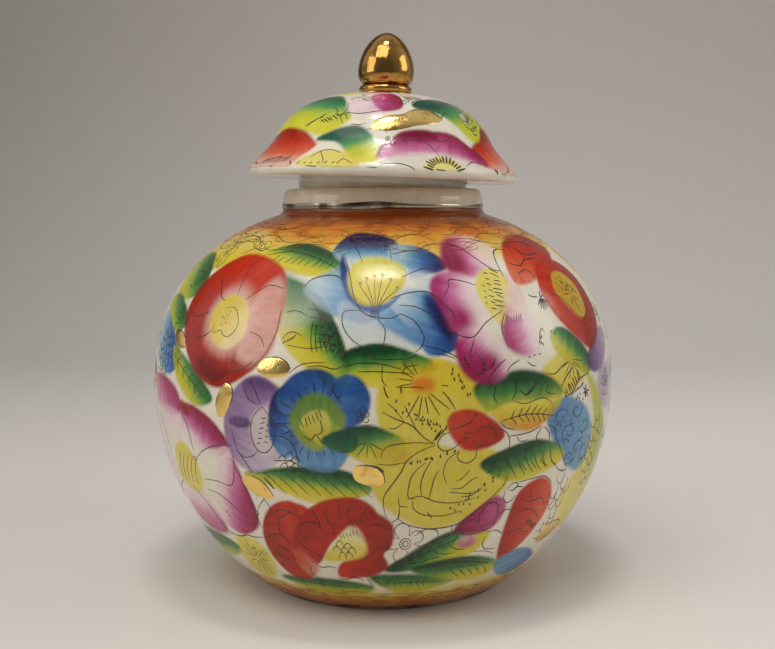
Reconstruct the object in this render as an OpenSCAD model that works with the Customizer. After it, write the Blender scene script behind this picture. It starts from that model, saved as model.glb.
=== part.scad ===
// Ginger jar: a round porcelain jar with a hat-shaped lid and a gilded egg finial.
// Origin: centre of the foot on the resting plane, +Z up. All sizes are in millimetres.

/* [Jar] */
// Outer radius of the belly at its widest
belly_r = 67.3; // [62:0.5:74]
// Height of the widest point above the resting plane
belly_z = 59; // [52:0.5:64]
// Height at which the shoulder ends and the neck collar begins
shoulder_z = 109.4; // [106:0.2:114]
// Fullness of the shoulder: 2 is an ellipse, more is squarer
shoulder_power = 2.3; // [2:0.05:2.6]
// Thickness of the jar's wall and floor
jar_wall = 3.5; // [2.5:0.25:4.5]

/* [Foot] */
// Outer radius of the bare foot ring where it stands
foot_r = 37.5; // [34:0.5:39]
// Height of the foot ring
foot_h = 2; // [1.5:0.25:3.5]
// Width of the foot ring
foot_w = 4.6; // [3:0.2:7]

/* [Neck] */
// Outer radius of the neck collar
collar_r = 29.7; // [28:0.1:31.5]
// Radius of the mouth
mouth_r = 23.8; // [22.6:0.1:24]
// Height of the neck collar
collar_h = 5.4; // [4:0.2:8]

/* [Lid] */
// Outer radius of the brim
brim_r = 39.4; // [37:0.2:42]
// Height of the lid from the underside of its brim to the finial's pad
lid_rise = 24.9; // [22:0.1:28]
// Thickness of the domed shell
lid_wall = 3.5; // [2.5:0.25:4]
// How far the dome leans over on its level seat ring, in degrees
lid_tilt = 2; // [0:0.25:2.5]
// Outer radius of the seat ring that rests on the rim of the neck
seat_r = 24.8; // [24.6:0.1:26.4]
// Height of the brim's underside above the rim of the neck
brim_lift = 2.6; // [2.4:0.1:4]
// Depth of the locating flange inside the neck
flange_h = 7; // [5:0.5:10]
// Radial clearance between the flange and the mouth
flange_gap = 0.6; // [0.4:0.1:1]

/* [Finial] */
// Widest radius of the egg
knob_r = 8.25; // [7.5:0.25:10]
// Height of the egg
knob_h = 15.5; // [12:0.5:18]

/* [Hidden] */

$fn = 120;
steps = 24;

porcelain = [0.95, 0.93, 0.88];
bare_clay = [0.80, 0.72, 0.62];
gilding = [0.80, 0.58, 0.20];

// The shoulder sweeps into the neck through a small hollow curve
neck_hollow = 2.4;
neck_hollow_turn = 66;
neck_r = collar_r - 0.3;
hollow_end = [neck_r + neck_hollow * (1 - cos(neck_hollow_turn)),
              shoulder_z - neck_hollow * sin(neck_hollow_turn)];

foot_edge_r = foot_r + 2.2;
floor_z = foot_h + jar_wall;
throat_z = shoulder_z - jar_wall;

rim_z = shoulder_z + collar_h;
rim_rounding = 2.6;

// The seat ring clears the rim by a hair, so that the lid lifts off freely
seat_gap = 0.1;
brim_z = rim_z + brim_lift;
cavetto = 1.2;
dome_foot_z = brim_z - cavetto;
flange_r = mouth_r - flange_gap;
lid_mouth_r = flange_r - 3.4;
lip_r = 1.7;
pad_r = 7.2;
pad_z = brim_z + lid_rise;

finial_collar_h = 2.4;
knob_z = pad_z + finial_collar_h;
knob_widest_h = 0.27 * knob_h;
knob_seat_r = 6.2;

// Points [radius, height] of a curve that starts upright at radius r and narrows to end_r
// over the given height: power 2 is an ellipse, less is more pointed, more is fuller
function narrowing(r, end_r, height, power) =
    let (end_a = acos(pow(end_r / r, power / 2)),
         pole = height / pow(sin(end_a), 2 / power))
    [for (i = [0 : steps]) let (a = end_a * i / steps)
        [r * pow(cos(a), 2 / power), pole * pow(sin(a), 2 / power)]];

// Points of an arc around a centre, from one angle to another
function arc(centre, r, from, to) =
    [for (i = [0 : steps]) let (a = from + (to - from) * i / steps)
        centre + r * [cos(a), sin(a)]];

// Points of a cubic curve with the four control points c
function cubic(c) =
    [for (i = [0 : steps]) let (t = i / steps, s = 1 - t)
        s * s * s * c[0] + 3 * s * s * t * c[1] + 3 * s * t * t * c[2] + t * t * t * c[3]];

function above(z, points) = [for (p = points) [p.x, z + p.y]];

function below(z, points) = [for (p = points) [p.x, z - p.y]];

function backwards(points) = [for (i = [len(points) - 1 : -1 : 0]) points[i]];

function after_first(points) = [for (i = [1 : len(points) - 1]) points[i]];

// A height on the lid: 0 is the underside of the brim and 1 is the finial's pad
function on_rise(r_share, rise_share) = [r_share * brim_r, brim_z + rise_share * lid_rise];

// Turns a closed outline of [radius, height] points around the vertical axis
module turned(points) {
    rotate_extrude() polygon(points);
}

// Leans what sits above the seat ring over towards +X, around the centre of the brim
module leaning() {
    translate([0, 0, brim_z])
        rotate([0, lid_tilt, 0])
            translate([0, 0, -brim_z])
                children();
}

// Hollow belly with a flat floor and a short throat under the neck collar
module jar_body() {
    outer_low = below(belly_z, narrowing(belly_r, foot_edge_r, belly_z - foot_h, 2));
    outer_high = above(belly_z, narrowing(belly_r, hollow_end.x, hollow_end.y - belly_z, shoulder_power));
    hollow_centre = [neck_r + neck_hollow, shoulder_z];
    hollow = arc(hollow_centre, neck_hollow, 180 + neck_hollow_turn, 180);
    inside_r = belly_r - jar_wall;
    inner_high = above(belly_z, narrowing(inside_r, mouth_r, throat_z - belly_z, shoulder_power));
    inner_low = below(belly_z, narrowing(inside_r, foot_edge_r - 1.5, belly_z - floor_z, 2));
    color(porcelain)
        turned(concat(
            [[0, foot_h]],
            backwards(outer_low),
            after_first(outer_high),
            after_first(hollow),
            [[mouth_r, shoulder_z]],
            backwards(inner_high),
            after_first(inner_low),
            [[0, floor_z]]
        ));
}

// Unglazed ring that the jar stands on
module foot_ring() {
    edge = 0.5;
    color(bare_clay)
        turned([
            [foot_r - edge, 0],
            [foot_r, edge],
            [foot_r + 0.7, foot_h],
            [foot_r - foot_w - 0.5, foot_h],
            [foot_r - foot_w, edge],
            [foot_r - foot_w + edge, 0]
        ]);
}

// Thick rolled ring around the mouth
module neck_collar() {
    flat_r = collar_r - rim_rounding;
    rolled = [for (p = narrowing(rim_rounding, 0, collar_h, 2.6)) [flat_r + p.x, shoulder_z + p.y]];
    inner_edge = 0.6;
    color(porcelain)
        turned(concat(
            [[neck_r, shoulder_z]],
            after_first(rolled),
            arc([mouth_r + inner_edge, rim_z - inner_edge], inner_edge, 90, 180),
            [[mouth_r, shoulder_z]]
        ));
}

// Domed cover that flares out into a thin brim with a rounded lip, hollow underneath
module lid_dome() {
    waist = on_rise(0.795, 0.486);
    dome = cubic([[pad_r, pad_z], on_rise(0.533, 0.97), on_rise(0.716, 0.755), waist]);
    flare = cubic([waist, on_rise(0.828, 0.375), on_rise(0.914, 0.24), on_rise(0.986, 0.12)]);
    lip = arc([brim_r - lip_r, brim_z + lip_r], lip_r, 42, -90);
    cove = arc([seat_r + cavetto, dome_foot_z], cavetto, 90, 180);
    ceiling_z = pad_z - lid_wall;
    ledge_z = brim_z + lid_wall - 0.5;
    hollow = cubic([on_rise(0.7, 0.18), on_rise(0.749, 0.687), [0.457 * brim_r, ceiling_z], [0, ceiling_z]]);
    color(porcelain)
        leaning()
            turned(concat(
                [[0, pad_z]],
                dome,
                after_first(flare),
                after_first(lip),
                cove,
                [[lid_mouth_r, dome_foot_z], [lid_mouth_r, ledge_z]],
                hollow
            ));
}

// Level ring that rests on the rim; its top is cut to the lean of the dome
module lid_seat_ring() {
    bottom_z = rim_z + seat_gap;
    color(porcelain)
        intersection() {
            turned([
                [lid_mouth_r, bottom_z],
                [seat_r, bottom_z],
                [seat_r, brim_z + cavetto],
                [lid_mouth_r, brim_z + cavetto]
            ]);
            leaning()
                translate([0, 0, dome_foot_z - 2 * brim_lift])
                    cylinder(h = 2 * brim_lift, r = brim_r);
        }
}

// Locating ring that reaches down inside the mouth
module lid_flange() {
    top_z = rim_z + seat_gap;
    bottom_z = top_z - flange_h;
    edge = 0.8;
    color(porcelain)
        turned([
            [lid_mouth_r, top_z],
            [lid_mouth_r, bottom_z],
            [flange_r - edge, bottom_z],
            [flange_r, bottom_z + edge],
            [flange_r, top_z]
        ]);
}

// Gilded bead between the dome and the egg
module finial_collar() {
    bead_r = 1.1;
    bead = arc([knob_seat_r + 0.5, pad_z + 0.58 * finial_collar_h], bead_r, -60, 60);
    color(gilding)
        leaning()
            turned(concat(
                [[0, pad_z], [pad_r, pad_z], [knob_seat_r + 1, pad_z + 0.4]],
                bead,
                [[knob_seat_r, knob_z], [0, knob_z]]
            ));
}

// Gilded egg that lifts the lid
module finial_knob() {
    widest_z = knob_z + knob_widest_h;
    lower = below(widest_z, narrowing(knob_r, knob_seat_r, knob_widest_h, 2.6));
    upper = above(widest_z, narrowing(knob_r, 0, knob_h - knob_widest_h, 1.8));
    color(gilding)
        leaning()
            turned(concat([[0, knob_z]], backwards(lower), after_first(upper)));
}

jar_body();
foot_ring();
neck_collar();
lid_dome();
lid_seat_ring();
lid_flange();
finial_collar();
finial_knob();
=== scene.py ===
"""Ginger jar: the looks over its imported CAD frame.

A place on a surface is given as (azimuth in degrees, step in mm). Azimuth 0 faces the camera and
azimuth grows to the right. On the jar a step is the height above the foot. On the lid it is the
distance up the slope from the lip. The enamel colours are computed on a fine grid of points, the
film, and the ink lines and the gold lie on the film as thin pieces of their own.
"""

import math
import random

import bpy
import numpy as np
from mathutils import Matrix, Vector
from mathutils.bvhtree import BVHTree


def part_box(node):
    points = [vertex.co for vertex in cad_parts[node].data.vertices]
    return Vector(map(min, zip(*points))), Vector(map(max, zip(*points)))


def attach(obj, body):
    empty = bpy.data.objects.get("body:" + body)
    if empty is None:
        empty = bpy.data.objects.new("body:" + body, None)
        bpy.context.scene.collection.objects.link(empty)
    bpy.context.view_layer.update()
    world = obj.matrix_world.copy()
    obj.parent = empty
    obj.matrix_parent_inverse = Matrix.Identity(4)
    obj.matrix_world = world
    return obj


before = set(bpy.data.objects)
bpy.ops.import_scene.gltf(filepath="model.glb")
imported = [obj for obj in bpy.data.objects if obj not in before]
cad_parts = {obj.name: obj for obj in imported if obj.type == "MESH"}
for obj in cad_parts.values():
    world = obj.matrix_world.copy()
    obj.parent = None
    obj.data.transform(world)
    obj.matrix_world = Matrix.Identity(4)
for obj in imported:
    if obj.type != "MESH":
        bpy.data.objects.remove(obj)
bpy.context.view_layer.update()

MM = 0.001
# The dome and the finial lean over towards +X by this much, about the centre of the brim
LEAN = math.radians(2)
BRIM_LIFT = 2.6 * MM
# How much an enamel lets the colour under it through
SHEER = 0.35
# How far each enamel runs out over its outline, in mm
SPREAD = 0.3
# Distance between the points of a film, in mm
FILM_PITCH = 0.5
# How far the film, the ink and the middle of the gold lie above the surface, in mm
FILM_LIFT = 0.05
INK_LIFT = 0.1
GOLD_LIFT = 0.3
# How far the first and last row of a film dip under the surface, in mm
EDGE_DIP = 0.03
# Half the width of a full brush line, in mm
INK_HALF_WIDTH = 0.16
# How many mm a degree of azimuth is, on the jar's belly and on the lid's slope
JAR_DEGREE = 1.17
LID_DEGREE = 0.65
# How many rays find the outline of a surface
RAYS = 300
# Thin pieces face away from this point, the middle of the belly
MIDDLE = Vector((0, 0, 59 * MM))
# The material slots of what is painted on
ENAMELLED = "enamelled_porcelain"
GILDED = "gilded_porcelain"


# ---------------------------------------------------------------- colours and materials


def srgb(red, green, blue):
    """A colour from 0 to 255 per channel, as the linear colour that the nodes take."""
    return tuple(
        c / 255 / 12.92 if c <= 10 else ((c / 255 + 0.055) / 1.055) ** 2.4
        for c in (red, green, blue)
    ) + (1.0,)


WHITE = srgb(238, 234, 222)
IVORY = srgb(226, 220, 200)

# Each enamel from washed out (0) to dense (1)
ENAMELS = {
    "red": [(0.0, WHITE), (0.22, srgb(232, 194, 184)), (0.45, srgb(222, 102, 68)),
            (0.72, srgb(198, 46, 14)), (1.0, srgb(134, 24, 6))],
    "blue": [(0.0, WHITE), (0.25, srgb(196, 212, 222)), (0.5, srgb(114, 164, 206)),
             (0.75, srgb(48, 98, 172)), (1.0, srgb(28, 26, 88))],
    "pink": [(0.0, WHITE), (0.3, srgb(236, 208, 222)), (0.55, srgb(208, 126, 174)),
             (0.8, srgb(178, 52, 118)), (1.0, srgb(142, 16, 62))],
    "lavender": [(0.0, WHITE), (0.35, srgb(206, 194, 214)), (0.7, srgb(162, 132, 178)),
                 (1.0, srgb(104, 72, 124))],
    "leaf": [(0.0, srgb(228, 214, 100)), (0.3, srgb(216, 202, 52)), (0.5, srgb(168, 186, 62)),
             (0.72, srgb(74, 138, 68)), (1.0, srgb(22, 72, 38))],
    "teal": [(0.0, srgb(222, 218, 60)), (0.35, srgb(190, 204, 60)), (0.65, srgb(80, 156, 96)),
             (1.0, srgb(16, 84, 66))],
    "mist": [(0.0, WHITE), (0.5, srgb(196, 206, 176)), (1.0, srgb(112, 152, 124))],
    "yellow": [(0.0, WHITE), (0.3, srgb(240, 230, 146)), (0.65, srgb(224, 206, 64)),
               (0.85, srgb(220, 180, 50)), (1.0, srgb(226, 140, 50))],
    "white": [(0.0, WHITE), (1.0, srgb(214, 196, 204))],
    "band": [(0.0, WHITE), (0.25, srgb(236, 220, 132)), (0.5, srgb(220, 170, 66)),
             (0.75, srgb(200, 112, 38)), (1.0, srgb(146, 70, 28))],
}


class Nodes:
    """Short ways to add and join a material's nodes."""

    def __init__(self, name):
        self.material = bpy.data.materials.new(name)
        self.material.use_nodes = True
        self.tree = self.material.node_tree
        self.shader = self.tree.nodes["Principled BSDF"]
        self.place = self.add("ShaderNodeTexCoord").outputs["Object"]

    def add(self, kind, **values):
        node = self.tree.nodes.new(kind)
        for key, value in values.items():
            setattr(node, key, value)
        return node

    def join(self, source, target):
        self.tree.links.new(source, target)

    def noise(self, scale, detail=4):
        node = self.add("ShaderNodeTexNoise")
        node.inputs["Scale"].default_value = scale
        node.inputs["Detail"].default_value = detail
        self.join(self.place, node.inputs["Vector"])
        return node.outputs["Fac"]

    def math(self, operation, a, b):
        node = self.add("ShaderNodeMath", operation=operation)
        for socket, value in zip(node.inputs, (a, b)):
            if isinstance(value, (int, float)):
                socket.default_value = value
            else:
                self.join(value, socket)
        return node.outputs[0]

    def span(self, value, low, high, to_low, to_high):
        """A value between low and high, moved to lie between to_low and to_high."""
        node = self.add("ShaderNodeMapRange")
        limits = {"From Min": low, "From Max": high, "To Min": to_low, "To Max": to_high}
        for key, number in limits.items():
            node.inputs[key].default_value = number
        self.join(value, node.inputs["Value"])
        return node.outputs["Result"]

    def ramp(self, value, stops):
        """The colour that a value from 0 to 1 picks out of a row of colour stops."""
        node = self.add("ShaderNodeValToRGB")
        elements = node.color_ramp.elements
        while len(elements) < len(stops):
            elements.new(0.5)
        for element, (position, colour) in zip(elements, stops):
            element.position = position
            element.color = colour
        self.join(value, node.inputs["Fac"])
        return node.outputs["Color"]

    def tint(self, colour, other, share):
        """One colour multiplied by another."""
        node = self.add("ShaderNodeMix", data_type="RGBA", blend_type="MULTIPLY")
        node.inputs[0].default_value = share
        for index, value in ((6, colour), (7, other)):
            self.join(value, node.inputs[index])
        return node.outputs[2]

    def bump(self, height, strength, distance):
        node = self.add("ShaderNodeBump")
        node.inputs["Strength"].default_value = strength
        node.inputs["Distance"].default_value = distance
        self.join(height, node.inputs["Height"])
        self.join(node.outputs["Normal"], self.shader.inputs["Normal"])

    def colour(self, source):
        self.join(source, self.shader.inputs["Base Color"])

    def roughness(self, source, low, high):
        """Roughness between low and high that follows a noise."""
        self.join(self.span(source, 0.3, 0.7, low, high), self.shader.inputs["Roughness"])


def glaze(name, dull, bright):
    """Plain glazed porcelain: clear gloss over a faintly mottled body."""
    nodes = Nodes(name)
    nodes.colour(nodes.ramp(nodes.noise(260), [(0.3, dull), (0.7, bright)]))
    nodes.roughness(nodes.noise(700, 3), 0.07, 0.16)
    nodes.bump(nodes.noise(90, 2), 0.2, 0.5 * MM)
    return nodes.material


def painted(name):
    """Enamel whose colour and thickness come with each point of the film."""
    nodes = Nodes(name)
    paint = nodes.add("ShaderNodeAttribute", attribute_name="paint").outputs["Color"]
    thick = nodes.add("ShaderNodeAttribute", attribute_name="thick").outputs["Fac"]
    speckle = nodes.noise(900, 4)
    pools = nodes.noise(220, 3)
    shade = nodes.ramp(nodes.math("MULTIPLY", nodes.math("ADD", speckle, pools), 0.5),
                       [(0.35, srgb(236, 230, 216)), (0.65, srgb(248, 244, 232))])
    nodes.colour(nodes.tint(paint, shade, 0.8))
    nodes.roughness(nodes.math("ADD", pools, nodes.math("MULTIPLY", thick, 0.15)), 0.09, 0.22)
    wave = nodes.math("MULTIPLY", nodes.noise(80, 2), 5)
    grain = nodes.math("MULTIPLY", nodes.math("ADD", speckle, pools), 0.35)
    nodes.bump(nodes.math("ADD", nodes.math("ADD", wave, grain), thick), 0.5, 0.08 * MM)
    nodes.shader.inputs["Specular IOR Level"].default_value = 0.38
    return nodes.material


def ink(name, dark, dry):
    """A fine brush line, a little broken where the brush ran dry."""
    nodes = Nodes(name)
    breaks = nodes.noise(1100, 3)
    nodes.colour(nodes.ramp(breaks, [(0.4, dark), (0.75, dry)]))
    nodes.roughness(breaks, 0.2, 0.4)
    nodes.bump(breaks, 0.2, 0.03 * MM)
    return nodes.material


def metal(name, bright, worn, wear, roughness, relief=0.35):
    """Burnished metal over the glaze, with small pits and worn, darker patches."""
    nodes = Nodes(name)
    patches = nodes.noise(150, 6)
    fine = nodes.noise(1500, 3)
    nodes.colour(nodes.ramp(patches, [(wear - 0.1, worn), (wear + 0.08, bright)]))
    nodes.roughness(fine, *roughness)
    nodes.bump(nodes.math("ADD", fine, nodes.math("MULTIPLY", patches, 3)), relief, 0.08 * MM)
    nodes.shader.inputs["Metallic"].default_value = 1.0
    return nodes.material


def bare_clay():
    """Unglazed foot: matt, sandy, soiled where it has stood."""
    nodes = Nodes("bare_clay")
    grit = nodes.noise(1200, 6)
    clay = nodes.ramp(grit, [(0.3, srgb(150, 116, 84)), (0.7, srgb(204, 172, 134))])
    soil = nodes.ramp(nodes.noise(80), [(0.4, srgb(146, 106, 74)), (0.65, (1, 1, 1, 1))])
    nodes.colour(nodes.tint(clay, soil, 0.8))
    nodes.bump(grit, 0.5, 0.1 * MM)
    nodes.roughness(grit, 0.6, 0.85)
    return nodes.material


# ---------------------------------------------------------------- surfaces


class Skin:
    """The outside of a turned piece: where a place (azimuth, step) lies in space."""

    def __init__(self, body, mm_per_degree, steps, outline, stand):
        self.body = body
        self.mm_per_degree = mm_per_degree
        self.steps = np.array(steps)
        self.outline = np.array(outline)
        along = np.gradient(self.outline, axis=0)
        out = np.stack([along[:, 1], -along[:, 0]], axis=1)
        self.out = out / np.linalg.norm(out, axis=1, keepdims=True)
        self.turn = np.array(stand.to_3x3())
        self.shift = np.array(stand.translation)

    def read(self, table, step):
        """The two columns of a table along the outline, read at the steps."""
        return [np.interp(step, self.steps, column) for column in table.T]

    def place(self, azimuth, step, lift):
        """Points at the azimuths and steps, lift mm above the surface."""
        r, z = self.read(self.outline, step)
        out_r, out_z = self.read(self.out, step)
        r = r + out_r * lift * MM
        z = z + out_z * lift * MM
        a = np.radians(azimuth)
        points = np.stack([r * np.sin(a), -r * np.cos(a), z], axis=-1)
        return points @ self.turn.T + self.shift

    def even_steps(self, pitch):
        """Steps that lie pitch mm apart on the surface."""
        lengths = np.linalg.norm(np.diff(self.outline, axis=0), axis=1) / MM
        travelled = np.concatenate([[0], np.cumsum(lengths)])
        count = int(travelled[-1] / pitch)
        return np.interp(np.linspace(0, travelled[-1], count + 1), travelled, self.steps)


def upright_surface(node, stand):
    """A ray caster over a CAD node that is stood upright."""
    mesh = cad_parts[node].data
    upright = stand.inverted()
    corners = [upright @ vertex.co for vertex in mesh.vertices]
    return BVHTree.FromPolygons(corners, [tuple(face.vertices) for face in mesh.polygons])


def jar_skin():
    """The jar's outside, stepped by its height in mm."""
    stand = Matrix.Identity(4)
    surface = upright_surface("jar_body", stand)
    low, high = (corner.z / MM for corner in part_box("jar_body"))
    steps = np.linspace(low + 0.05, high - 0.05, RAYS)
    outline = []
    for z in steps:
        hit = surface.ray_cast(Vector((0, -1, z * MM)), Vector((0, 1, 0)))[0]
        outline.append((-hit.y, hit.z))
    return Skin("jar", JAR_DEGREE, steps, outline, stand)


def lid_skin():
    """The dome's outside, stepped by the distance in mm up the slope from the lip."""
    pivot = Vector((0, 0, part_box("neck_collar")[1].z + BRIM_LIFT))
    stand = Matrix.Translation(pivot) @ Matrix.Rotation(LEAN, 4, "Y") @ Matrix.Translation(-pivot)
    surface = upright_surface("lid_dome", stand)
    # The rays fan up from the height of the lip's edge to the rim of the finial's pad
    centre = pivot + Vector((0, 0, 1.6 * MM))
    outline, steps = [], []
    for tilt in np.radians(np.linspace(0, 72.5, RAYS)):
        ray = Vector((0, -math.cos(tilt), math.sin(tilt)))
        hit = surface.ray_cast(centre + ray, -ray)[0]
        place = (-hit.y, hit.z)
        travelled = steps[-1] + math.dist(place, outline[-1]) / MM if steps else 0
        outline.append(place)
        steps.append(travelled)
    return Skin("lid", LID_DEGREE, steps, outline, stand)


# ---------------------------------------------------------------- brushwork


def lerp(a, b, t):
    """The share t of the way from a to b."""
    return a + (b - a) * t


def ease(t):
    """A smooth rise from 0 to 1 while t goes from 0 to 1."""
    t = np.clip(t, 0, 1)
    return t * t * (3 - 2 * t)


def heading(angle):
    """Unit vectors at one or more angles in radians."""
    return np.stack([np.cos(angle), np.sin(angle)], axis=-1)


def oval_edge(radii, tilt, turns):
    """Places on an oval, tilted in degrees, at each of the turns around its middle."""
    x, y = radii[0] * np.cos(turns), radii[1] * np.sin(turns)
    cos, sin = heading(math.radians(tilt))
    return np.stack([x * cos - y * sin, x * sin + y * cos], axis=-1)


def curve_through(points, closed=False, pieces=6):
    """A smooth curve through the points."""
    count = len(points)
    path = []
    for i in range(count if closed else count - 1):
        near = [i - 1, i, i + 1, i + 2]
        near = [k % count for k in near] if closed else [min(max(k, 0), count - 1) for k in near]
        p0, p1, p2, p3 = (points[k] for k in near)
        for t in np.arange(pieces) / pieces:
            bend = (2 * p0 - 5 * p1 + 4 * p2 - p3) * t * t + (3 * p1 - p0 - 3 * p2 + p3) * t ** 3
            path.append((2 * p1 + (p2 - p0) * t + bend) / 2)
    if not closed:
        path.append(points[-1])
    return np.array(path)


def waves(x, y, seed, length):
    """Soft random clouds between about -1 and 1, whose lumps are about length mm across."""
    dice = random.Random(seed)
    total = 0
    for _ in range(9):
        a = dice.uniform(0, math.tau)
        pitch = math.tau / (length * dice.uniform(0.8, 3))
        bend = dice.uniform(0.3, 1) * np.sin((x + y) * pitch * 0.37 + dice.uniform(0, 9))
        along = x * math.cos(a) + y * math.sin(a)
        total = total + np.sin(along * pitch + bend + dice.uniform(0, 9))
    return total / 4.5


def depth_inside(x, y, outline):
    """Distance in mm in from a closed outline; negative outside."""
    nearest = np.full(x.shape, np.inf)
    inside = np.zeros(x.shape, bool)
    for (ax, ay), (bx, by) in zip(outline, np.roll(outline, -1, axis=0)):
        length2 = max((bx - ax) ** 2 + (by - ay) ** 2, 1e-9)
        t = np.clip(((x - ax) * (bx - ax) + (y - ay) * (by - ay)) / length2, 0, 1)
        nearest = np.minimum(nearest, np.hypot(x - ax - t * (bx - ax), y - ay - t * (by - ay)))
        if ay != by:
            crossing = (ay > y) != (by > y)
            inside ^= crossing & (x < ax + (y - ay) * (bx - ax) / (by - ay))
    return np.where(inside, nearest, -nearest)


class Film:
    """A thin painted skin all round a surface: a fine grid whose points each carry a colour."""

    def __init__(self, skin):
        self.skin = skin
        self.steps = skin.even_steps(FILM_PITCH)
        columns = 4 * round(90 * skin.mm_per_degree / FILM_PITCH)
        self.azimuths = np.linspace(-180, 180, columns + 1)
        self.azimuth, self.step = np.meshgrid(self.azimuths, self.steps)
        self.colour = np.empty(self.azimuth.shape + (3,))
        self.colour[:] = WHITE[:3]
        self.thick = np.zeros(self.azimuth.shape)

    def lay(self, where, cover, tone, look):
        """Lays an enamel over the points where, from washed out to dense by its tone."""
        stops = ENAMELS[look]
        places = [position for position, _ in stops]
        channels = [np.interp(tone, places, [colour[k] for _, colour in stops]) for k in range(3)]
        dense = np.stack(channels, axis=-1)
        under = self.colour[where]
        through = dense * (1 - SHEER + SHEER * under / np.array(WHITE[:3]))
        self.colour[where] = lerp(under, through, cover[:, None])
        self.thick[where] = np.maximum(self.thick[where] * (1 - cover), cover)

    def band(self, low, high, seed):
        """Washes the orange band in between two steps, densest at the second."""
        drift = 1.2 * waves(self.azimuth * JAR_DEGREE, self.step * 2, seed, 9)
        tone = np.clip((self.step + drift - low) / (high - low), 0, 1).ravel()
        where = np.unravel_index(np.arange(tone.size), self.azimuth.shape)
        self.lay(where, ease(tone * 3), tone, "band")

    def finish(self, name, cuts, slot):
        """Makes the film's pieces, cut at the azimuths, and rides them on the skin's body."""
        material = painted(name + "_enamel")
        lift = np.full(self.azimuth.shape, FILM_LIFT)
        lift[[0, -1]] = -EDGE_DIP
        points = self.skin.place(self.azimuth, self.step, lift)
        for k, (left, right) in enumerate(zip(cuts, cuts[1:])):
            first, last = np.searchsorted(self.azimuths, [left - 0.01, right - 0.01])
            part = np.s_[:, first:last + 1]
            rows, columns = points[part].shape[:2]
            corner = (np.arange(rows - 1)[:, None] * columns + np.arange(columns - 1)).ravel()
            faces = np.stack([corner, corner + 1, corner + columns + 1, corner + columns], axis=1)
            mesh = bpy.data.meshes.new(f"{name}_{k}")
            mesh.from_pydata(points[part].reshape(-1, 3).tolist(), [], faces.tolist())
            mesh.polygons.foreach_set("use_smooth", [True] * len(faces))
            paint = mesh.attributes.new("paint", "FLOAT_COLOR", "POINT")
            colour = np.concatenate([self.colour[part], np.ones((rows, columns, 1))], axis=2)
            paint.data.foreach_set("color", colour.ravel())
            thick = mesh.attributes.new("thick", "FLOAT", "POINT")
            thick.data.foreach_set("value", self.thick[part].ravel())
            add_piece(mesh, material, self.skin.body)


def add_piece(mesh, material, body):
    """Shows a mesh as a piece that rides on a body."""
    mesh.materials.append(material)
    piece = bpy.data.objects.new(mesh.name, mesh)
    bpy.context.scene.collection.objects.link(piece)
    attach(piece, body)


class Strokes:
    """Ribbons and dabs laid on a surface that together make one piece."""

    def __init__(self, name, skin, lift):
        self.name = name
        self.skin = skin
        self.lift = lift
        self.points, self.faces = [], []

    def grid(self, azimuth, step, lift):
        """Adds a ribbon or dab from two-dimensional arrays of places."""
        rows, columns = azimuth.shape
        start = len(self.points)
        self.points.extend(self.skin.place(azimuth, step, lift).reshape(-1, 3).tolist())
        for i in range(rows - 1):
            for j in range(columns - 1):
                a = start + i * columns + j
                self.faces.append((a, a + 1, a + columns + 1, a + columns))

    def finish(self, material, slot):
        """Makes the piece, with all faces outwards, and rides it on the skin's body."""
        mesh = bpy.data.meshes.new(self.name)
        mesh.from_pydata(self.points, [], self.faces)
        mesh.polygons.foreach_set("use_smooth", [True] * len(self.faces))
        mesh.update()
        for face in mesh.polygons:
            if face.normal.dot(face.center - MIDDLE) < 0:
                face.flip()
        mesh.update()
        add_piece(mesh, material, self.skin.body)


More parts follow.
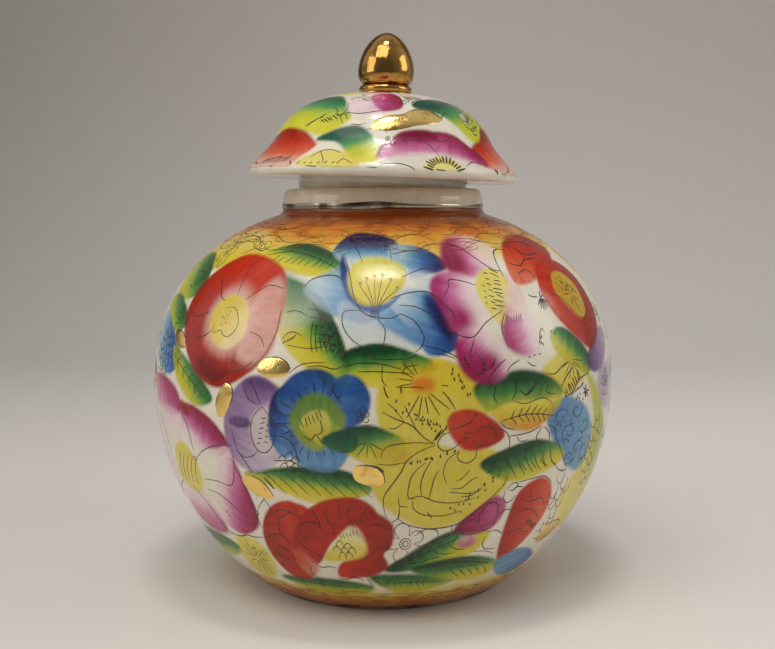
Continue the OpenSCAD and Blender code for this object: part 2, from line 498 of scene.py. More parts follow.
class Side:
    """One side of the jar or lid as a painter sees it, with azimuths from the side's middle.

    turn is the azimuth of that middle, a hand of -1 mirrors the side, and swap trades enamels.
    """

    def __init__(self, film, ink_strokes, gold_strokes, turn=0, hand=1, swap=None):
        self.film = film
        self.skin = film.skin
        self.ink = ink_strokes
        self.gold = gold_strokes
        self.turn = turn
        self.hand = hand
        self.swap = swap or {}
        local = hand * ((film.azimuth - turn + 180) % 360 - 180)
        self.x = local * self.skin.mm_per_degree
        self.y = film.step
        self.dice = random.Random(turn)

    def flat(self, place):
        """A place as millimetres on the drawing: x across and y up."""
        return np.array([place[0] * self.skin.mm_per_degree, place[1]])

    def to_azimuth(self, x):
        """The azimuth on the whole piece of an x on the drawing."""
        return self.turn + self.hand * x / self.skin.mm_per_degree

    def near(self, low, high):
        """The film's points inside a box on the drawing, and their x and y."""
        across = (self.x > low[0]) & (self.x < high[0])
        where = np.nonzero(across & (self.y > low[1]) & (self.y < high[1]))
        return where, self.x[where], self.y[where]

    def lay(self, where, depth, tone, look, soft):
        """Lays an enamel that fades out over its edge: depth and soft are in mm."""
        cover = ease((depth + SPREAD + soft / 2) / soft)
        self.film.lay(where, cover, tone, self.swap.get(look, look))

    def petal(self, root, tip, width, look, tone, lean=0, power=2.2, skew=1.3):
        """A petal from its root to its tip, width in mm, whose tone changes from root to tip.

        lean makes it denser towards the left of the way from root to tip, and paler to the right.
        A higher power makes it blunter, and a higher skew widest nearer to its tip.
        """
        soft = 0.8
        a, b = self.flat(root), self.flat(tip)
        length = math.dist(a, b)
        way = (b - a) / length
        reach = width / 2 + soft
        where, x, y = self.near(np.minimum(a, b) - reach, np.maximum(a, b) + reach)
        u = ((x - a[0]) * way[0] + (y - a[1]) * way[1]) / length
        v = (y - a[1]) * way[0] - (x - a[0]) * way[1]
        seed = self.dice.random()
        wobble = 1 + 0.05 * waves(x, y, seed, 7)

        def half_width(u):
            span = 1 - np.abs(2 * np.clip(u, 0, 1) ** skew - 1) ** power
            return width / 2 * span ** (1 / power) * wobble

        half = half_width(u)
        slope = (half_width(u + 0.01) - half_width(u - 0.01)) / (0.02 * length)
        beyond = np.maximum(-u, u - 1) * length
        depth = np.where(beyond > 0, -np.hypot(beyond, v), (half - np.abs(v)) / np.hypot(1, slope))
        across = np.clip(v / np.maximum(half, 0.1), -1, 1)
        strands = waves(v * 3, u * length * 0.5, seed + 1, 2.5)
        streak = 0.1 * strands * (0.3 + 0.7 * np.clip(u, 0, 1))
        density = lerp(tone[0], tone[1], ease(u)) + lean * across + streak
        self.lay(where, depth, density, look, soft)

    def patch(self, places, look, tones=(0.6, 0.6), towards=90, soft=0.8):
        """An enamel patch inside a smooth closed outline, whose tone changes towards an angle."""
        outline = curve_through([self.flat(p) for p in places], closed=True)
        where, x, y = self.near(outline.min(axis=0) - soft, outline.max(axis=0) + soft)
        depth = depth_inside(x, y, outline)
        way = heading(math.radians(towards))
        along, across = x * way[0] + y * way[1], y * way[0] - x * way[1]
        reached = outline @ way
        share = (along - reached.min()) / np.ptp(reached)
        strands = waves(across * 2.5, along * 0.5, self.dice.random(), 3)
        density = lerp(tones[0], tones[1], ease(share)) + 0.045 * strands
        self.lay(where, depth, density, look, soft)

    def oval(self, centre, radii, look, tones=(0.6, 0.6), towards=90, soft=1.0, tilt=0):
        """An oval patch, radii in mm, tilted in degrees."""
        edge = oval_edge(radii, tilt, math.tau * np.arange(8) / 8)
        places = np.array(centre) + edge / (self.skin.mm_per_degree, 1)
        self.patch(places, look, tones, towards, soft)

    def stroke(self, path, width):
        """An ink line along drawing points: width 1 is a full brush line."""
        path = curve_through(path, pieces=3)
        ahead = np.gradient(path, axis=0)
        ahead /= np.maximum(np.linalg.norm(ahead, axis=1, keepdims=True), 1e-6)
        across = np.stack([-ahead[:, 1], ahead[:, 0]], axis=1)
        taper = 0.4 + 0.6 * np.sin(math.pi * (np.arange(len(path)) + 0.5) / len(path))
        half = (INK_HALF_WIDTH * width * taper)[:, None]
        sides = np.stack([path - across * half, path + across * half], axis=1)
        self.ink.grid(self.to_azimuth(sides[:, :, 0]), sides[:, :, 1], self.ink.lift)

    def line(self, *places, width=0.7):
        """An ink line through places on the surface."""
        self.stroke([self.flat(p) for p in places], width)

    def hatch(self, count, first, last, width=0.6):
        """Ink lines that change evenly from the first path to the last."""
        ends = [(self.flat(a), self.flat(b)) for a, b in zip(first, last)]
        for t in np.linspace(0, 1, count):
            self.stroke([lerp(a, b, t) for a, b in ends], width)

    def comb(self, start, end, length, count, towards=90, width=0.7):
        """A row of short strokes from start to end."""
        a, b = self.flat(start), self.flat(end)
        for t in np.linspace(0, 1, count):
            way = heading(math.radians(towards + self.dice.uniform(-10, 10)))
            step = way * length * self.dice.uniform(0.7, 1.1)
            p = lerp(a, b, t)
            self.stroke([p, p + step / 2, p + step], width)

    def fan(self, centre, inner, outer, first, last, count, width=0.6):
        """Strokes that spread out from a centre between two angles."""
        middle = self.flat(centre)
        for way in heading(np.radians(np.linspace(first, last, count))):
            far = outer * self.dice.uniform(0.85, 1.1)
            self.stroke([middle + way * reach for reach in (inner, (inner + far) / 2, far)], width)

    def vein(self, *places, ribs=5, spread=2.5, width=0.6):
        """A middle line with side ribs, as in a leaf."""
        path = curve_through([self.flat(p) for p in places], pieces=6)
        self.stroke(path[::3], width)
        for t in np.linspace(0.2, 0.8, ribs):
            i = int(t * (len(path) - 2))
            way = path[i + 1] - path[i]
            way = way / np.linalg.norm(way)
            side = np.array([-way[1], way[0]])
            for hand in (1, -1):
                tip = path[i] + (way * 0.8 + side * hand) * spread * self.dice.uniform(0.7, 1.1)
                self.stroke([path[i], lerp(path[i], tip, 0.5) + way * 0.15, tip], width * 0.9)

    def dots(self, centre, radii, count, size=0.4):
        """Short ink dashes scattered over an oval."""
        for _ in range(count):
            a, reach = self.dice.uniform(0, math.tau), self.dice.random() ** 0.5
            p = self.flat(centre) + reach * heading(a) * radii
            step = heading(self.dice.uniform(0.9, 2.0)) * size
            self.stroke([p - step, p, p + step], 1.1)

    def curl(self, centre, size, turns=1.3, start=0.0, hand=1, width=0.6, flat=0.8):
        """A scroll that winds inwards; flat is its height as a share of its width."""
        t = np.linspace(0, 1, 14)
        a = start + hand * turns * math.tau * t
        reach = (size * (1 - 0.75 * t))[:, None]
        self.stroke(self.flat(centre) + heading(a) * (1, flat) * reach, width)

    def blossom(self, centre, size, lobes=5, width=0.65):
        """A blossom that is only outlined in ink, with uneven lobes around a double ring."""
        middle = self.flat(centre)
        turn = self.dice.uniform(0, 1.2)
        for k in range(lobes):
            a = turn + math.tau * k / lobes + np.linspace(-0.48, 0.48, 9) * math.tau / lobes
            bulge = np.sin(np.linspace(0, math.pi, 9)) ** 0.5
            reach = size * (0.4 + self.dice.uniform(0.4, 0.65) * bulge)
            self.stroke(middle + heading(a) * reach[:, None], width)
        for share in (0.14, 0.27):
            self.stroke(middle + heading(np.linspace(0, math.tau, 7)) * size * share, width)

    def scales(self, centre, radii, size, towards, width=0.65):
        """Small petal tips that overlap like roof tiles over an oval."""
        way = heading(math.radians(towards))
        side_way = np.array([-way[1], way[0]])
        tip = np.linspace(0, math.pi, 7)
        reach = int(2 * max(radii) / size) + 1
        for row in range(-reach, reach + 1):
            for k in range(-reach, reach + 1):
                p = way * row * size * 0.75 + side_way * (k + 0.5 * (row % 2)) * size
                if math.hypot(p[0] / radii[0], p[1] / radii[1]) > 1:
                    continue
                shake = np.array([self.dice.uniform(-1, 1), self.dice.uniform(-1, 1)])
                p = p + self.flat(centre) + size * 0.15 * shake
                across = 0.5 * size * np.cos(tip)[:, None]
                along = self.dice.uniform(0.7, 1.1) * size * np.sin(tip)[:, None]
                self.stroke(p + side_way * across + way * along, width)

    def dab(self, centre, radii, tilt=0):
        """A dab of raised gold with an uneven edge, and an ink line along its upper right."""
        middle = self.flat(centre)
        turns = np.linspace(0, math.tau, 10)[:-1]
        grow = np.array([self.dice.uniform(0.88, 1.08) for _ in turns])
        edge = middle + oval_edge(radii, tilt, turns) * grow[:, None]
        self.gild(edge)
        self.stroke(edge[:4], 0.9)

    def gild(self, edge):
        """Lays gold inside an edge, swollen in the middle."""
        outline = curve_through(list(edge), closed=True)
        outline = np.concatenate([outline, outline[:1]])
        middle = outline.mean(axis=0)
        shares = np.array([0.02, 0.3, 0.55, 0.75, 0.9, 1.0])
        rows = middle + (outline - middle)[None] * shares[:, None, None]
        lift = self.gold.lift * (1 - shares ** 4)[:, None] + 0.02
        lift = np.broadcast_to(lift, rows.shape[:2])
        self.gold.grid(self.to_azimuth(rows[:, :, 0]), rows[:, :, 1], lift)


# ---------------------------------------------------------------- the jar's flowers


def left_edge(side):
    """The shoulder leaves and the blue petals at the far left."""
    side.patch([(-78, 95), (-66, 101.5), (-55, 103), (-44, 101.5), (-36, 98), (-47, 95.5),
                (-57, 93)], "yellow", (0.75, 0.35), soft=2)
    side.patch([(-76, 95), (-66, 96.5), (-57, 92.5), (-54.5, 88), (-60, 85), (-72, 86)],
               "leaf", (0.3, 0.9), 60)
    side.patch([(-76, 84), (-66, 85.3), (-57, 82), (-54.5, 78.5), (-60, 76.5), (-70, 80.5)],
               "leaf", (0.35, 0.9), 60)
    side.patch([(-75, 80), (-66, 79), (-56, 73), (-54, 69), (-60, 65), (-70, 68), (-76, 74)],
               "blue", (0.25, 0.8), 20)
    side.patch([(-58, 72.5), (-50, 69.5), (-43, 64.5), (-40.5, 60.5), (-47, 58.8), (-54, 64)],
               "leaf", (0.3, 0.9), 45)
    side.blossom((-57, 97.5), 5, 7, 0.6)
    side.line((-68, 97), (-60, 101), (-50, 101.5), (-42, 99), width=0.6)
    side.line((-48, 97), (-44, 98.5), (-40, 98), (-37, 99.5), width=0.6)
    side.curl((-45, 100), 2.2, 1, 2)
    side.fan((-60, 87.5), 1, 5.5, 60, 170, 5)
    side.line((-57, 90), (-60, 92), (-66, 92), width=0.8)
    side.fan((-57, 79), 1, 6, 110, 190, 5)
    side.vein((-57, 70.5), (-49, 65.5), (-43, 61), ribs=4)
    side.scales((-65, 72), (7, 6), 3, -40)


def mallow(side):
    """The pink flower at the lower left."""
    side.patch([(-84, 44), (-76, 48), (-68, 49), (-62, 42), (-64, 33), (-72, 26), (-82, 27),
                (-86, 35)], "pink", (0.8, 0.1), 0, 1.5)
    side.patch([(-72, 62), (-64, 64), (-55, 61.5), (-53, 56), (-60, 54), (-70, 56)],
               "pink", (0.45, 0.9), 60, 1.5)
    side.patch([(-66, 55), (-54, 55), (-53, 48), (-61, 45), (-66, 50)], "pink", (0.3, 0.0), -90, 2)
    side.patch([(-60, 34), (-50, 35), (-45.5, 28), (-47, 22.5), (-57, 22), (-63, 26)],
               "pink", (0.75, 0.1), 90, 1.5)
    side.patch([(-53, 56), (-49, 58.3), (-41, 55.5), (-36, 49.5), (-40, 46), (-49, 44), (-53, 49)],
               "pink", (-0.05, 1.0), 60)
    side.oval((-51, 57), (2.6, 1.3), "red", (0.9, 0.9), soft=1.5, tilt=-30)
    side.patch([(-40, 47.5), (-36, 48.5), (-33, 40), (-31.5, 32), (-33, 27), (-40, 24), (-46, 28),
                (-48.5, 38), (-46, 46)], "pink", (-0.2, 0.95), -25)
    side.patch([(-61, 37), (-59, 44), (-54, 47), (-49, 43), (-48.5, 37), (-52, 33.5), (-58, 34)],
               "yellow", (0.5, 0.6), soft=0.8)
    side.hatch(5, [(-59, 36), (-58.3, 40), (-56, 44)], [(-51, 36), (-50.3, 40), (-48, 44)])
    side.line((-53.5, 57), (-50, 52), (-49, 46), width=0.8)
    side.line((-35, 49.5), (-40, 48.8), (-45, 46.5), (-48, 44), width=0.8)
    side.line((-47, 38.3), (-42, 38.8), (-37, 38.5), (-35, 44), (-35, 47))
    side.line((-47, 35.5), (-42, 34.8), (-38, 32), (-36, 30))
    side.line((-72, 56), (-66, 50), (-63, 43), width=0.8)
    side.line((-70, 28), (-64, 33), (-60, 35), width=0.8)
    side.line((-54, 35), (-49, 30), (-46, 23.5), (-44, 22.5), width=0.8)
    side.curl((-48.8, 43.6), 1, 1.2)
    side.dots((-41, 29.5), (1.5, 0.8), 2)


def violet(side):
    """The lavender flower at the left of the gentian, and the purple petals at the far right."""
    side.patch([(-36.5, 54), (-35, 61), (-31, 66.5), (-25.5, 67.5), (-20.5, 61), (-21, 51),
                (-24, 46), (-30, 43.5), (-35, 47)], "lavender", (0.8, 0.35), -25, 1.0)
    side.patch([(-31, 66), (-27, 67.6), (-22, 65), (-24, 62.5), (-29, 62)],
               "lavender", (0.75, 1.0), 90, 1.5)
    side.patch([(-29.3, 55), (-27.5, 59), (-24.5, 60), (-22.5, 55), (-23.5, 50), (-27, 48.8)],
               "white", (0.5, 0.5), soft=1.5)
    side.oval((-32, 56), (3.2, 1.2), "lavender", (0.95, 0.95), soft=1.2)
    side.patch([(55, 70), (63, 75.5), (70, 76), (70, 72), (63, 66), (56.5, 66)],
               "lavender", (1.0, 0.5), 0)
    side.patch([(60, 64), (70, 67), (82, 64), (84, 56), (72, 53), (63, 56)],
               "lavender", (0.5, 0.1), 0, 2)
    side.line((-26, 60.5), (-28.3, 58), (-29.2, 54), (-28.3, 50), (-26.5, 48.8), (-24.5, 50),
              (-23, 54), (-24, 57.5), (-26, 60.5))
    side.line((-34.5, 54), (-33.5, 49), (-31.5, 47), (-29, 47.8), (-28, 49))
    side.line((-29, 66.5), (-27.5, 63.5), (-26.5, 61))
    side.line((-31, 65), (-29.5, 62), (-27, 61))
    side.line((-33, 48), (-31.3, 45.5), (-30, 43), width=0.8)
    side.line((-33.5, 55.5), (-31, 55), (-30.5, 57))
    side.comb((-27.8, 51), (-26.3, 57.5), 1.4, 6, 20)
    side.comb((-25, 51.5), (-24.5, 56), 1.2, 4, 170)
    side.fan((66, 60), 1, 5, 30, 160, 6)


def poppy(side):
    """The big red flower at the upper left."""
    side.patch([(-56.5, 84), (-54, 91.5), (-46, 96.5), (-36, 96.3), (-27, 93), (-24, 86),
                (-24.5, 76), (-29, 69.5), (-38, 64.3), (-46, 67), (-53, 75)],
               "red", (0.92, 0.7), 60, 1.0)
    side.petal((-38.5, 80), (-42, 66), 12, "red", (0.3, 1.05))
    side.oval((-38.5, 81), (8.4, 8), "red", (0.12, 0.12), soft=5)
    # A pale wash over the poppy's right third: a painted reflection of the left soft light, on top of
    # the light's own reflection.
    side.patch([(-24.3, 88), (-24, 78), (-27, 71.5), (-33, 72), (-33, 80), (-32, 87), (-28, 91.5)],
               "red", (0.2, 0.24), 0, 2.5)
    side.patch([(-44.5, 82), (-42, 86), (-37, 86.5), (-33, 83), (-33, 77), (-37, 74), (-42, 76)],
               "yellow", (0.22, 0.6), 140, 0.6)
    side.line((-50, 91.5), (-46.5, 89.5), (-44, 86.5), (-42, 85.5), width=0.8)
    side.line((-55, 82), (-50, 81), (-46, 82.5), width=0.8)
    side.line((-48, 75.5), (-45, 76.5), (-43, 78), width=0.8)
    side.line((-40, 95.5), (-39, 91), (-38.5, 87), width=0.6)
    side.line((-35, 86), (-32, 88.5), (-29, 89.8), (-25, 89), width=0.6)
    side.line((-24, 84), (-24, 79), (-26, 73.5), (-29, 70), width=0.6)
    side.line((-31, 78.5), (-28, 77.5), (-26.5, 75), width=0.6)
    side.line((-38, 66.5), (-35, 68.5), (-32, 69), (-29, 71.5), width=0.6)
    side.line((-42.5, 79.5), (-42.3, 77.5), (-40, 78.3), (-38.5, 77), (-36.5, 77.2), (-35, 79.5),
              (-35.6, 82), (-37.5, 84), (-40, 83.8), width=0.6)
    side.line((-36.5, 72), (-33, 70.5), (-31, 70), width=0.5)
    side.dots((-38.5, 80.5), (3, 2.5), 6, 0.15)


def gentian(side):
    """The blue flower below the hatched leaf, and the leaf over its lower right petal."""
    side.patch([(-24.5, 57), (-23.5, 63), (-20, 66), (-17, 62), (-18.5, 52), (-21, 48), (-24, 52)],
               "blue", (0.95, 0.55), -35)
    side.patch([(-21, 52), (-18, 47), (-14, 45.3), (-9.5, 46), (-7, 52), (-12, 56), (-18, 56)],
               "blue", (0.7, 0.55), -90)
    side.patch([(-22.5, 63), (-19, 68.5), (-14, 70.3), (-10, 68.5), (-8.5, 64), (-13, 60),
                (-20, 59)], "blue", (0.6, 0.85), 110)
    side.patch([(-11, 66), (-8, 68.9), (-4.5, 68), (-2.6, 63.5), (-4, 58.5), (-8, 56.5), (-11, 60)],
               "blue", (0.7, 0.8), 10)
    side.patch([(-19.5, 57), (-17.5, 62.5), (-13.5, 64.5), (-9.5, 62), (-7.8, 57.5), (-11, 52),
                (-15.5, 51)], "leaf", (0.5, 0.66), 90, 1.6)
    side.patch([(-17, 56), (-15.5, 59.5), (-12, 60), (-11, 56), (-12, 52.3), (-14, 53)],
               "yellow", (0.65, 0.5), 90, 1.0)
    side.fan((-13.5, 57.5), 7, 10.5, 50, 200, 11, 0.7)
    side.fan((-14, 56.5), 6.2, 8.5, 205, 320, 8, 0.6)
    side.line((-24, 53.5), (-21, 53.3), (-18.8, 51), (-18.2, 47), width=0.8)
    side.line((-23.5, 56), (-20.5, 56), (-19, 53.5))
    side.line((-24, 47), (-20, 47.3), (-17.5, 46), width=0.8)
    side.line((-10.5, 68), (-10, 65), (-8.3, 62.5), width=0.8)
    side.comb((-16.5, 56), (-12.5, 58.5), 2.6, 6, 110, 0.6)
    side.line((-16.5, 54), (-15, 53), (-14, 54.5), (-13, 53), (-12.3, 52.3), width=0.8)
    side.line((-13, 58.5), (-12.5, 55.5), (-13.5, 54.5), width=0.8)
    side.patch([(-12.5, 53), (-8, 55.8), (-3, 57), (1, 55.5), (4.5, 52.7), (2, 48.5), (-3, 47.5),
                (-8, 50.5)], "leaf", (0.1, 1.05), 105)
    side.patch([(-12.5, 53), (-8, 55.8), (-5.5, 56), (-5.8, 51.5), (-9, 50.5)],
               "teal", (0.85, 1.0), 90, 1.2)
    side.line((-5.6, 55.5), (-5.8, 51), (-9, 50.3))
    side.fan((-3, 53), 0.5, 4.5, 200, 330, 5)


def cornflower(side):
    """The big blue flower at the top in the middle, and the leaf under it."""
    side.patch([(-14.5, 98), (-11, 102), (-4, 102.3), (3, 101), (5, 98.5), (3, 95), (-8, 95)],
               "blue", (0.2, 1.1), 90)
    side.patch([(2, 98.8), (9, 99.3), (15, 97.5), (17.5, 94.5), (13, 93), (5, 92.5)],
               "blue", (0.3, 1.0), -10)
    side.patch([(-19.5, 89.5), (-15, 92.8), (-9.5, 94.5), (-8.5, 90), (-6, 86), (-1, 83.5),
                (-4, 81.5), (-10, 83), (-15, 85.5)], "blue", (0.28, 0.78), -10, 1.2)
    side.patch([(-10, 86), (-3, 84.5), (5, 86), (9, 80), (6, 74.5), (-1, 73.5), (-7, 76)],
               "blue", (0.12, 0.28), 90, 1.5)
    side.patch([(-2, 85), (4, 84.5), (10, 79), (8.5, 76), (4, 78.5), (-1, 82)],
               "blue", (0.45, 0.6), -20, 2)
    side.patch([(1, 88), (8, 89), (14, 86.5), (16.5, 80), (15.5, 75), (10, 74), (7, 79)],
               "blue", (0.2, 0.85), -15)
    side.patch([(10.5, 88), (14, 86), (16.6, 80), (14.5, 77.5), (12, 81), (10, 85)],
               "blue", (0.9, 1.15), 0, 3)
    side.patch([(4, 92.5), (11, 93), (15, 91), (11, 89), (4, 89.5)], "blue", (0.05, 0.25), 0, 2)
    side.patch([(-11.5, 97), (-9, 93), (-7, 88), (-3, 85.5), (1, 86), (4, 87.5), (-1, 84),
                (-6, 85.5), (-10, 91)], "blue", (0.9, 0.65), 0, 1.0)
    side.patch([(-8.5, 93.5), (-5.5, 96.3), (1, 96.3), (6, 94), (4.5, 89.5), (0, 86), (-5, 86),
                (-8, 89.5)], "yellow", (0.68, 0.5), 90, 0.8)
    for k, (x, y) in enumerate([(-5.5, 90), (-4, 91.2), (-2, 91.8), (0, 92), (2, 91), (3.6, 89)]):
        side.line((-2.6 + 0.35 * k, 82.5), (-2.6 + 0.5 * k, 86), (x, y), width=0.6)
        side.curl((x, y + 0.5), 0.55, 1, -1.5)
    side.line((-11, 97.5), (-8.5, 93), (-6.5, 87), (-4.5, 84), (-2, 82.8), (2, 82.5), (4, 83.5),
              width=0.9)
    side.line((-19.5, 89.5), (-18, 91.5), (-13, 92.5), (-9.5, 91), (-8, 87), width=0.8)
    side.line((-15, 98.5), (-10, 100), (-7, 98), (-5.5, 95.5))
    side.line((-1, 99.5), (2, 99.2), (2.6, 96))
    side.line((-5, 84.3), (-8.7, 84), (-8.6, 80.5), (-6, 77), (-2, 74.8))
    side.line((-1, 82.3), (0.6, 80), (0.4, 77), (0, 75))
    side.line((4, 83.5), (7, 82), (9, 78.5), (8.5, 76), (7, 74.5), width=0.8)
    side.line((4, 85.5), (8, 85), (12, 82.5), (15, 79))
    side.line((2, 87), (6, 88.3), (11, 88.5), (14, 86), width=0.8)
    side.line((5, 92), (10, 93.8), (15, 94.3))
    side.line((3, 97.5), (8, 98.3), (12, 98), width=0.6)
    side.line((9, 76), (13, 74.8), (17, 72.5))
    side.patch([(-8.5, 73.5), (-4, 76), (1, 76.2), (7, 74), (10.5, 71.8), (6, 69), (0, 66.2),
                (-5, 68)], "leaf", (0.1, 1.1), 95)
    side.line((-7, 75.3), (-3, 74.5), (-1.5, 73), (5, 73), (7.5, 74))
    side.line((-8, 71), (-5, 72), (0, 71.8), (4, 70.5), width=0.8)
    side.line((-5, 70), (0, 70), (6, 69.5))


def peony(side):
    """The pink flower at the upper right."""
    side.patch([(17, 95), (19.5, 100), (25, 101.5), (32, 101), (36.5, 98), (30, 93.5), (22, 92)],
               "pink", (0.9, 0.05), -10, 1.8)
    side.oval((20.5, 95.5), (3.6, 3), "pink", (0.95, 0.95), soft=5.5)
    side.patch([(11.8, 89.5), (15, 92.7), (22, 92), (26, 88), (24, 81), (17, 78.5), (14, 84)],
               "pink", (0.85, 0.05), -5, 1.5)
    side.oval((18, 82), (3.2, 2.8), "pink", (0.85, 0.85), soft=5.5)
    side.patch([(16, 76), (20, 79.5), (26, 78.5), (29, 74), (27, 68), (21, 66.5), (17, 70)],
               "pink", (0.95, 0.1), 40, 1.6)
    side.oval((22.5, 71), (3.6, 2.6), "pink", (0.9, 0.9), soft=5)
    side.patch([(29, 85), (33, 83.5), (37, 82), (40, 80), (38, 74.5), (33, 72.5), (28.5, 75),
                (28, 80)], "pink", (0.8, 0.0), 10, 2.0)
    side.patch([(33, 91.5), (37.5, 91), (39, 87), (37, 82), (34, 84)], "pink", (0.35, 0.0), 0, 2.5)
    side.patch([(24, 89), (27, 93), (32.5, 92.8), (34, 89.5), (30.5, 84.5), (28, 80.5), (25, 84.5)],
               "yellow", (0.38, 0.5), 160, 1.0)
    side.patch([(30.5, 86), (33, 89), (36.5, 90), (36.8, 86), (34, 82.5), (31, 82)],
               "red", (0.14, 0.1), 0, 0.8)
    side.comb((32.2, 92.5), (30, 84.5), 3.2, 9, 165)
    side.comb((28.8, 92.5), (27.5, 84), 1.6, 7, 165)
    side.comb((26.4, 89.5), (25.6, 85.5), 0.6, 4, 165)
    side.comb((29, 80.5), (33.5, 80.5), 2.2, 7, 75, 0.6)
    side.line((19, 99), (22, 99.5), (25, 98.5), (29, 95), (31.5, 93.3), (33.5, 93), width=0.8)
    side.line((41, 98), (38, 98.3), (35.5, 97.5), (34, 95.5), (33.5, 93), (33.6, 91.5), width=0.9)
    side.line((14.5, 87), (16.5, 89.5), (17, 91.2), (20, 91), (24, 89.8))
    side.line((15.5, 79), (18, 77.8), (20.5, 77.8), (24, 81), (29, 83.5), width=0.8)
    side.line((20.5, 77.5), (19.3, 74.5), (19, 73))
    side.line((14.5, 85.5), (16, 84), (17, 81.5))
    side.line((29.5, 83), (28, 80.5), (27.7, 78), (28.7, 74.5), width=0.9)
    side.line((21, 73), (22, 71), (21.7, 69.3), (20.5, 68.7), (19.5, 69.7), width=1.1)
    side.line((17.5, 73.3), (18, 71.8), (18.7, 70.5), width=1.1)
    side.line((22, 69.5), (24, 70.5), (24.8, 72.5), width=0.8)
    side.line((23, 67.5), (25, 70), (27.5, 72), width=0.8)
    side.line((27.5, 69), (29, 70.5), (31, 71.5))
    side.comb((33.5, 71.8), (36.5, 72.3), 1.2, 3, 15)
    side.line((33, 71), (34, 70), (35.5, 69.5))
    side.line((38.5, 87), (40, 86.3), (41.5, 86.3), width=0.8)
    side.fan((42.4, 86), 0.2, 2.8, 220, 330, 6, 1.1)
    side.fan((42.4, 86), 0.2, 1.8, 20, 60, 2, 1)
    side.line((37.5, 74.5), (38, 77), (39, 78.5), (39.8, 77.8), width=0.8)
    side.dots((38, 75), (1, 2.5), 5)
    side.dots((42.5, 77.5), (1, 0.8), 2)


def anemone(side):
    """The two red flowers at the far right."""
    side.patch([(36.5, 90), (37.5, 95.5), (43, 99.5), (52, 101.2), (61, 101.2), (67, 98), (60, 95),
                (50, 94), (44, 90.5)], "red", (0.4, 0.9), 75)
    side.patch([(44, 87), (47, 92.5), (54, 95.2), (63, 94.3), (68.5, 90), (68, 81), (63, 74.5),
                (57, 72), (51, 76), (46, 81)], "red", (0.7, 0.92), -20, 1.0)
    side.patch([(44, 87), (47, 86), (50, 83), (50, 79), (47, 81)], "red", (0.3, 0.6), 0, 2.5)
    side.patch([(50, 87), (53, 91), (59, 91.5), (63, 88), (61, 82), (56.5, 80), (53, 82.5)],
               "yellow", (0.78, 0.6), 0, 0.7)
    side.line((38, 95), (42, 94), (46, 95.5), (52, 95.5), width=0.8)
    side.line((45, 100), (46.5, 97.5), (50, 96.5), (56, 97))
    side.line((39, 92), (43, 93), (45, 91))
    side.line((47, 86.5), (50, 86), (53, 83), (55.5, 80.3), (59, 79.5), width=0.8)
    side.line((52, 89.5), (55, 87), (58, 88.5), (61, 86))
    side.line((54, 90.5), (56, 89), (57, 91.5))
    side.fan((57, 86), 0.8, 4, 20, 380, 8, 0.7)


def right_edge(side):
    """The leaves and the blue flower at the right."""
    side.patch([(54, 65), (60, 60), (66, 51), (70, 42), (69, 32), (61, 21), (55, 25), (54, 40),
                (58, 52)], "leaf", (0.15, 0.5), 20, 3)
    side.patch([(38, 69), (44, 72), (52, 71.5), (55.5, 67.5), (47, 62), (41, 61.5), (37.5, 66)],
               "yellow", (0.65, 0.5), 90, 1.5)
    side.patch([(41.5, 76.5), (46, 78.2), (52, 74.5), (56, 69), (54, 65.5), (48, 68.5), (43, 72)],
               "leaf", (0.3, 0.95), 50)
    side.patch([(38.5, 56), (41, 59.7), (47, 60), (54, 55.5), (57.5, 48), (56, 40), (50, 40.5),
                (44, 46), (41, 50)], "blue", (0.62, 0.5), 0, 1.5)
    side.line((38.5, 67.5), (41, 67), (44, 68.8), (46, 69.5), width=0.9)
    side.line((43, 63.5), (45, 66), (47.5, 67.8), width=1.1)
    side.fan((47.5, 70), 1, 5, 200, 350, 7)
    side.line((44, 60.5), (47, 61.5), (50, 64.5), (54.5, 65.5), width=1.2)
    side.comb((44.8, 60.3), (50.5, 64.5), 2.6, 9, 115, 1.2)
    side.comb((46.5, 60.5), (51, 62.5), 2.0, 6, 40, 1.0)
    side.fan((53, 61), 0.2, 1.8, 90, 360, 6, 1.4)
    side.dots((51, 59.8), (3, 1.2), 7)
    lobes = [(43, 55.5), (49, 56.5), (53, 52), (46.5, 51), (51, 46), (48, 44), (55, 44)]
    for k, (x, y) in enumerate(lobes):
        side.curl((x, y), 3.2, 1.1, 1.3 * k, (-1) ** k, 0.7)
        side.curl((x - 1.2, y - 2.6), 1.7, 0.7, 2 * k, 1)
    side.line((38.5, 54.5), (41, 52.8), (42, 50), (44, 47), (47, 42), width=0.8)
    side.line((37, 54), (35.5, 51.8), (35.8, 50), width=0.8)
    side.line((37.5, 54), (39.3, 52), (39.6, 49.5), width=0.8)
    side.scales((60, 45), (5, 10), 3.4, -60)


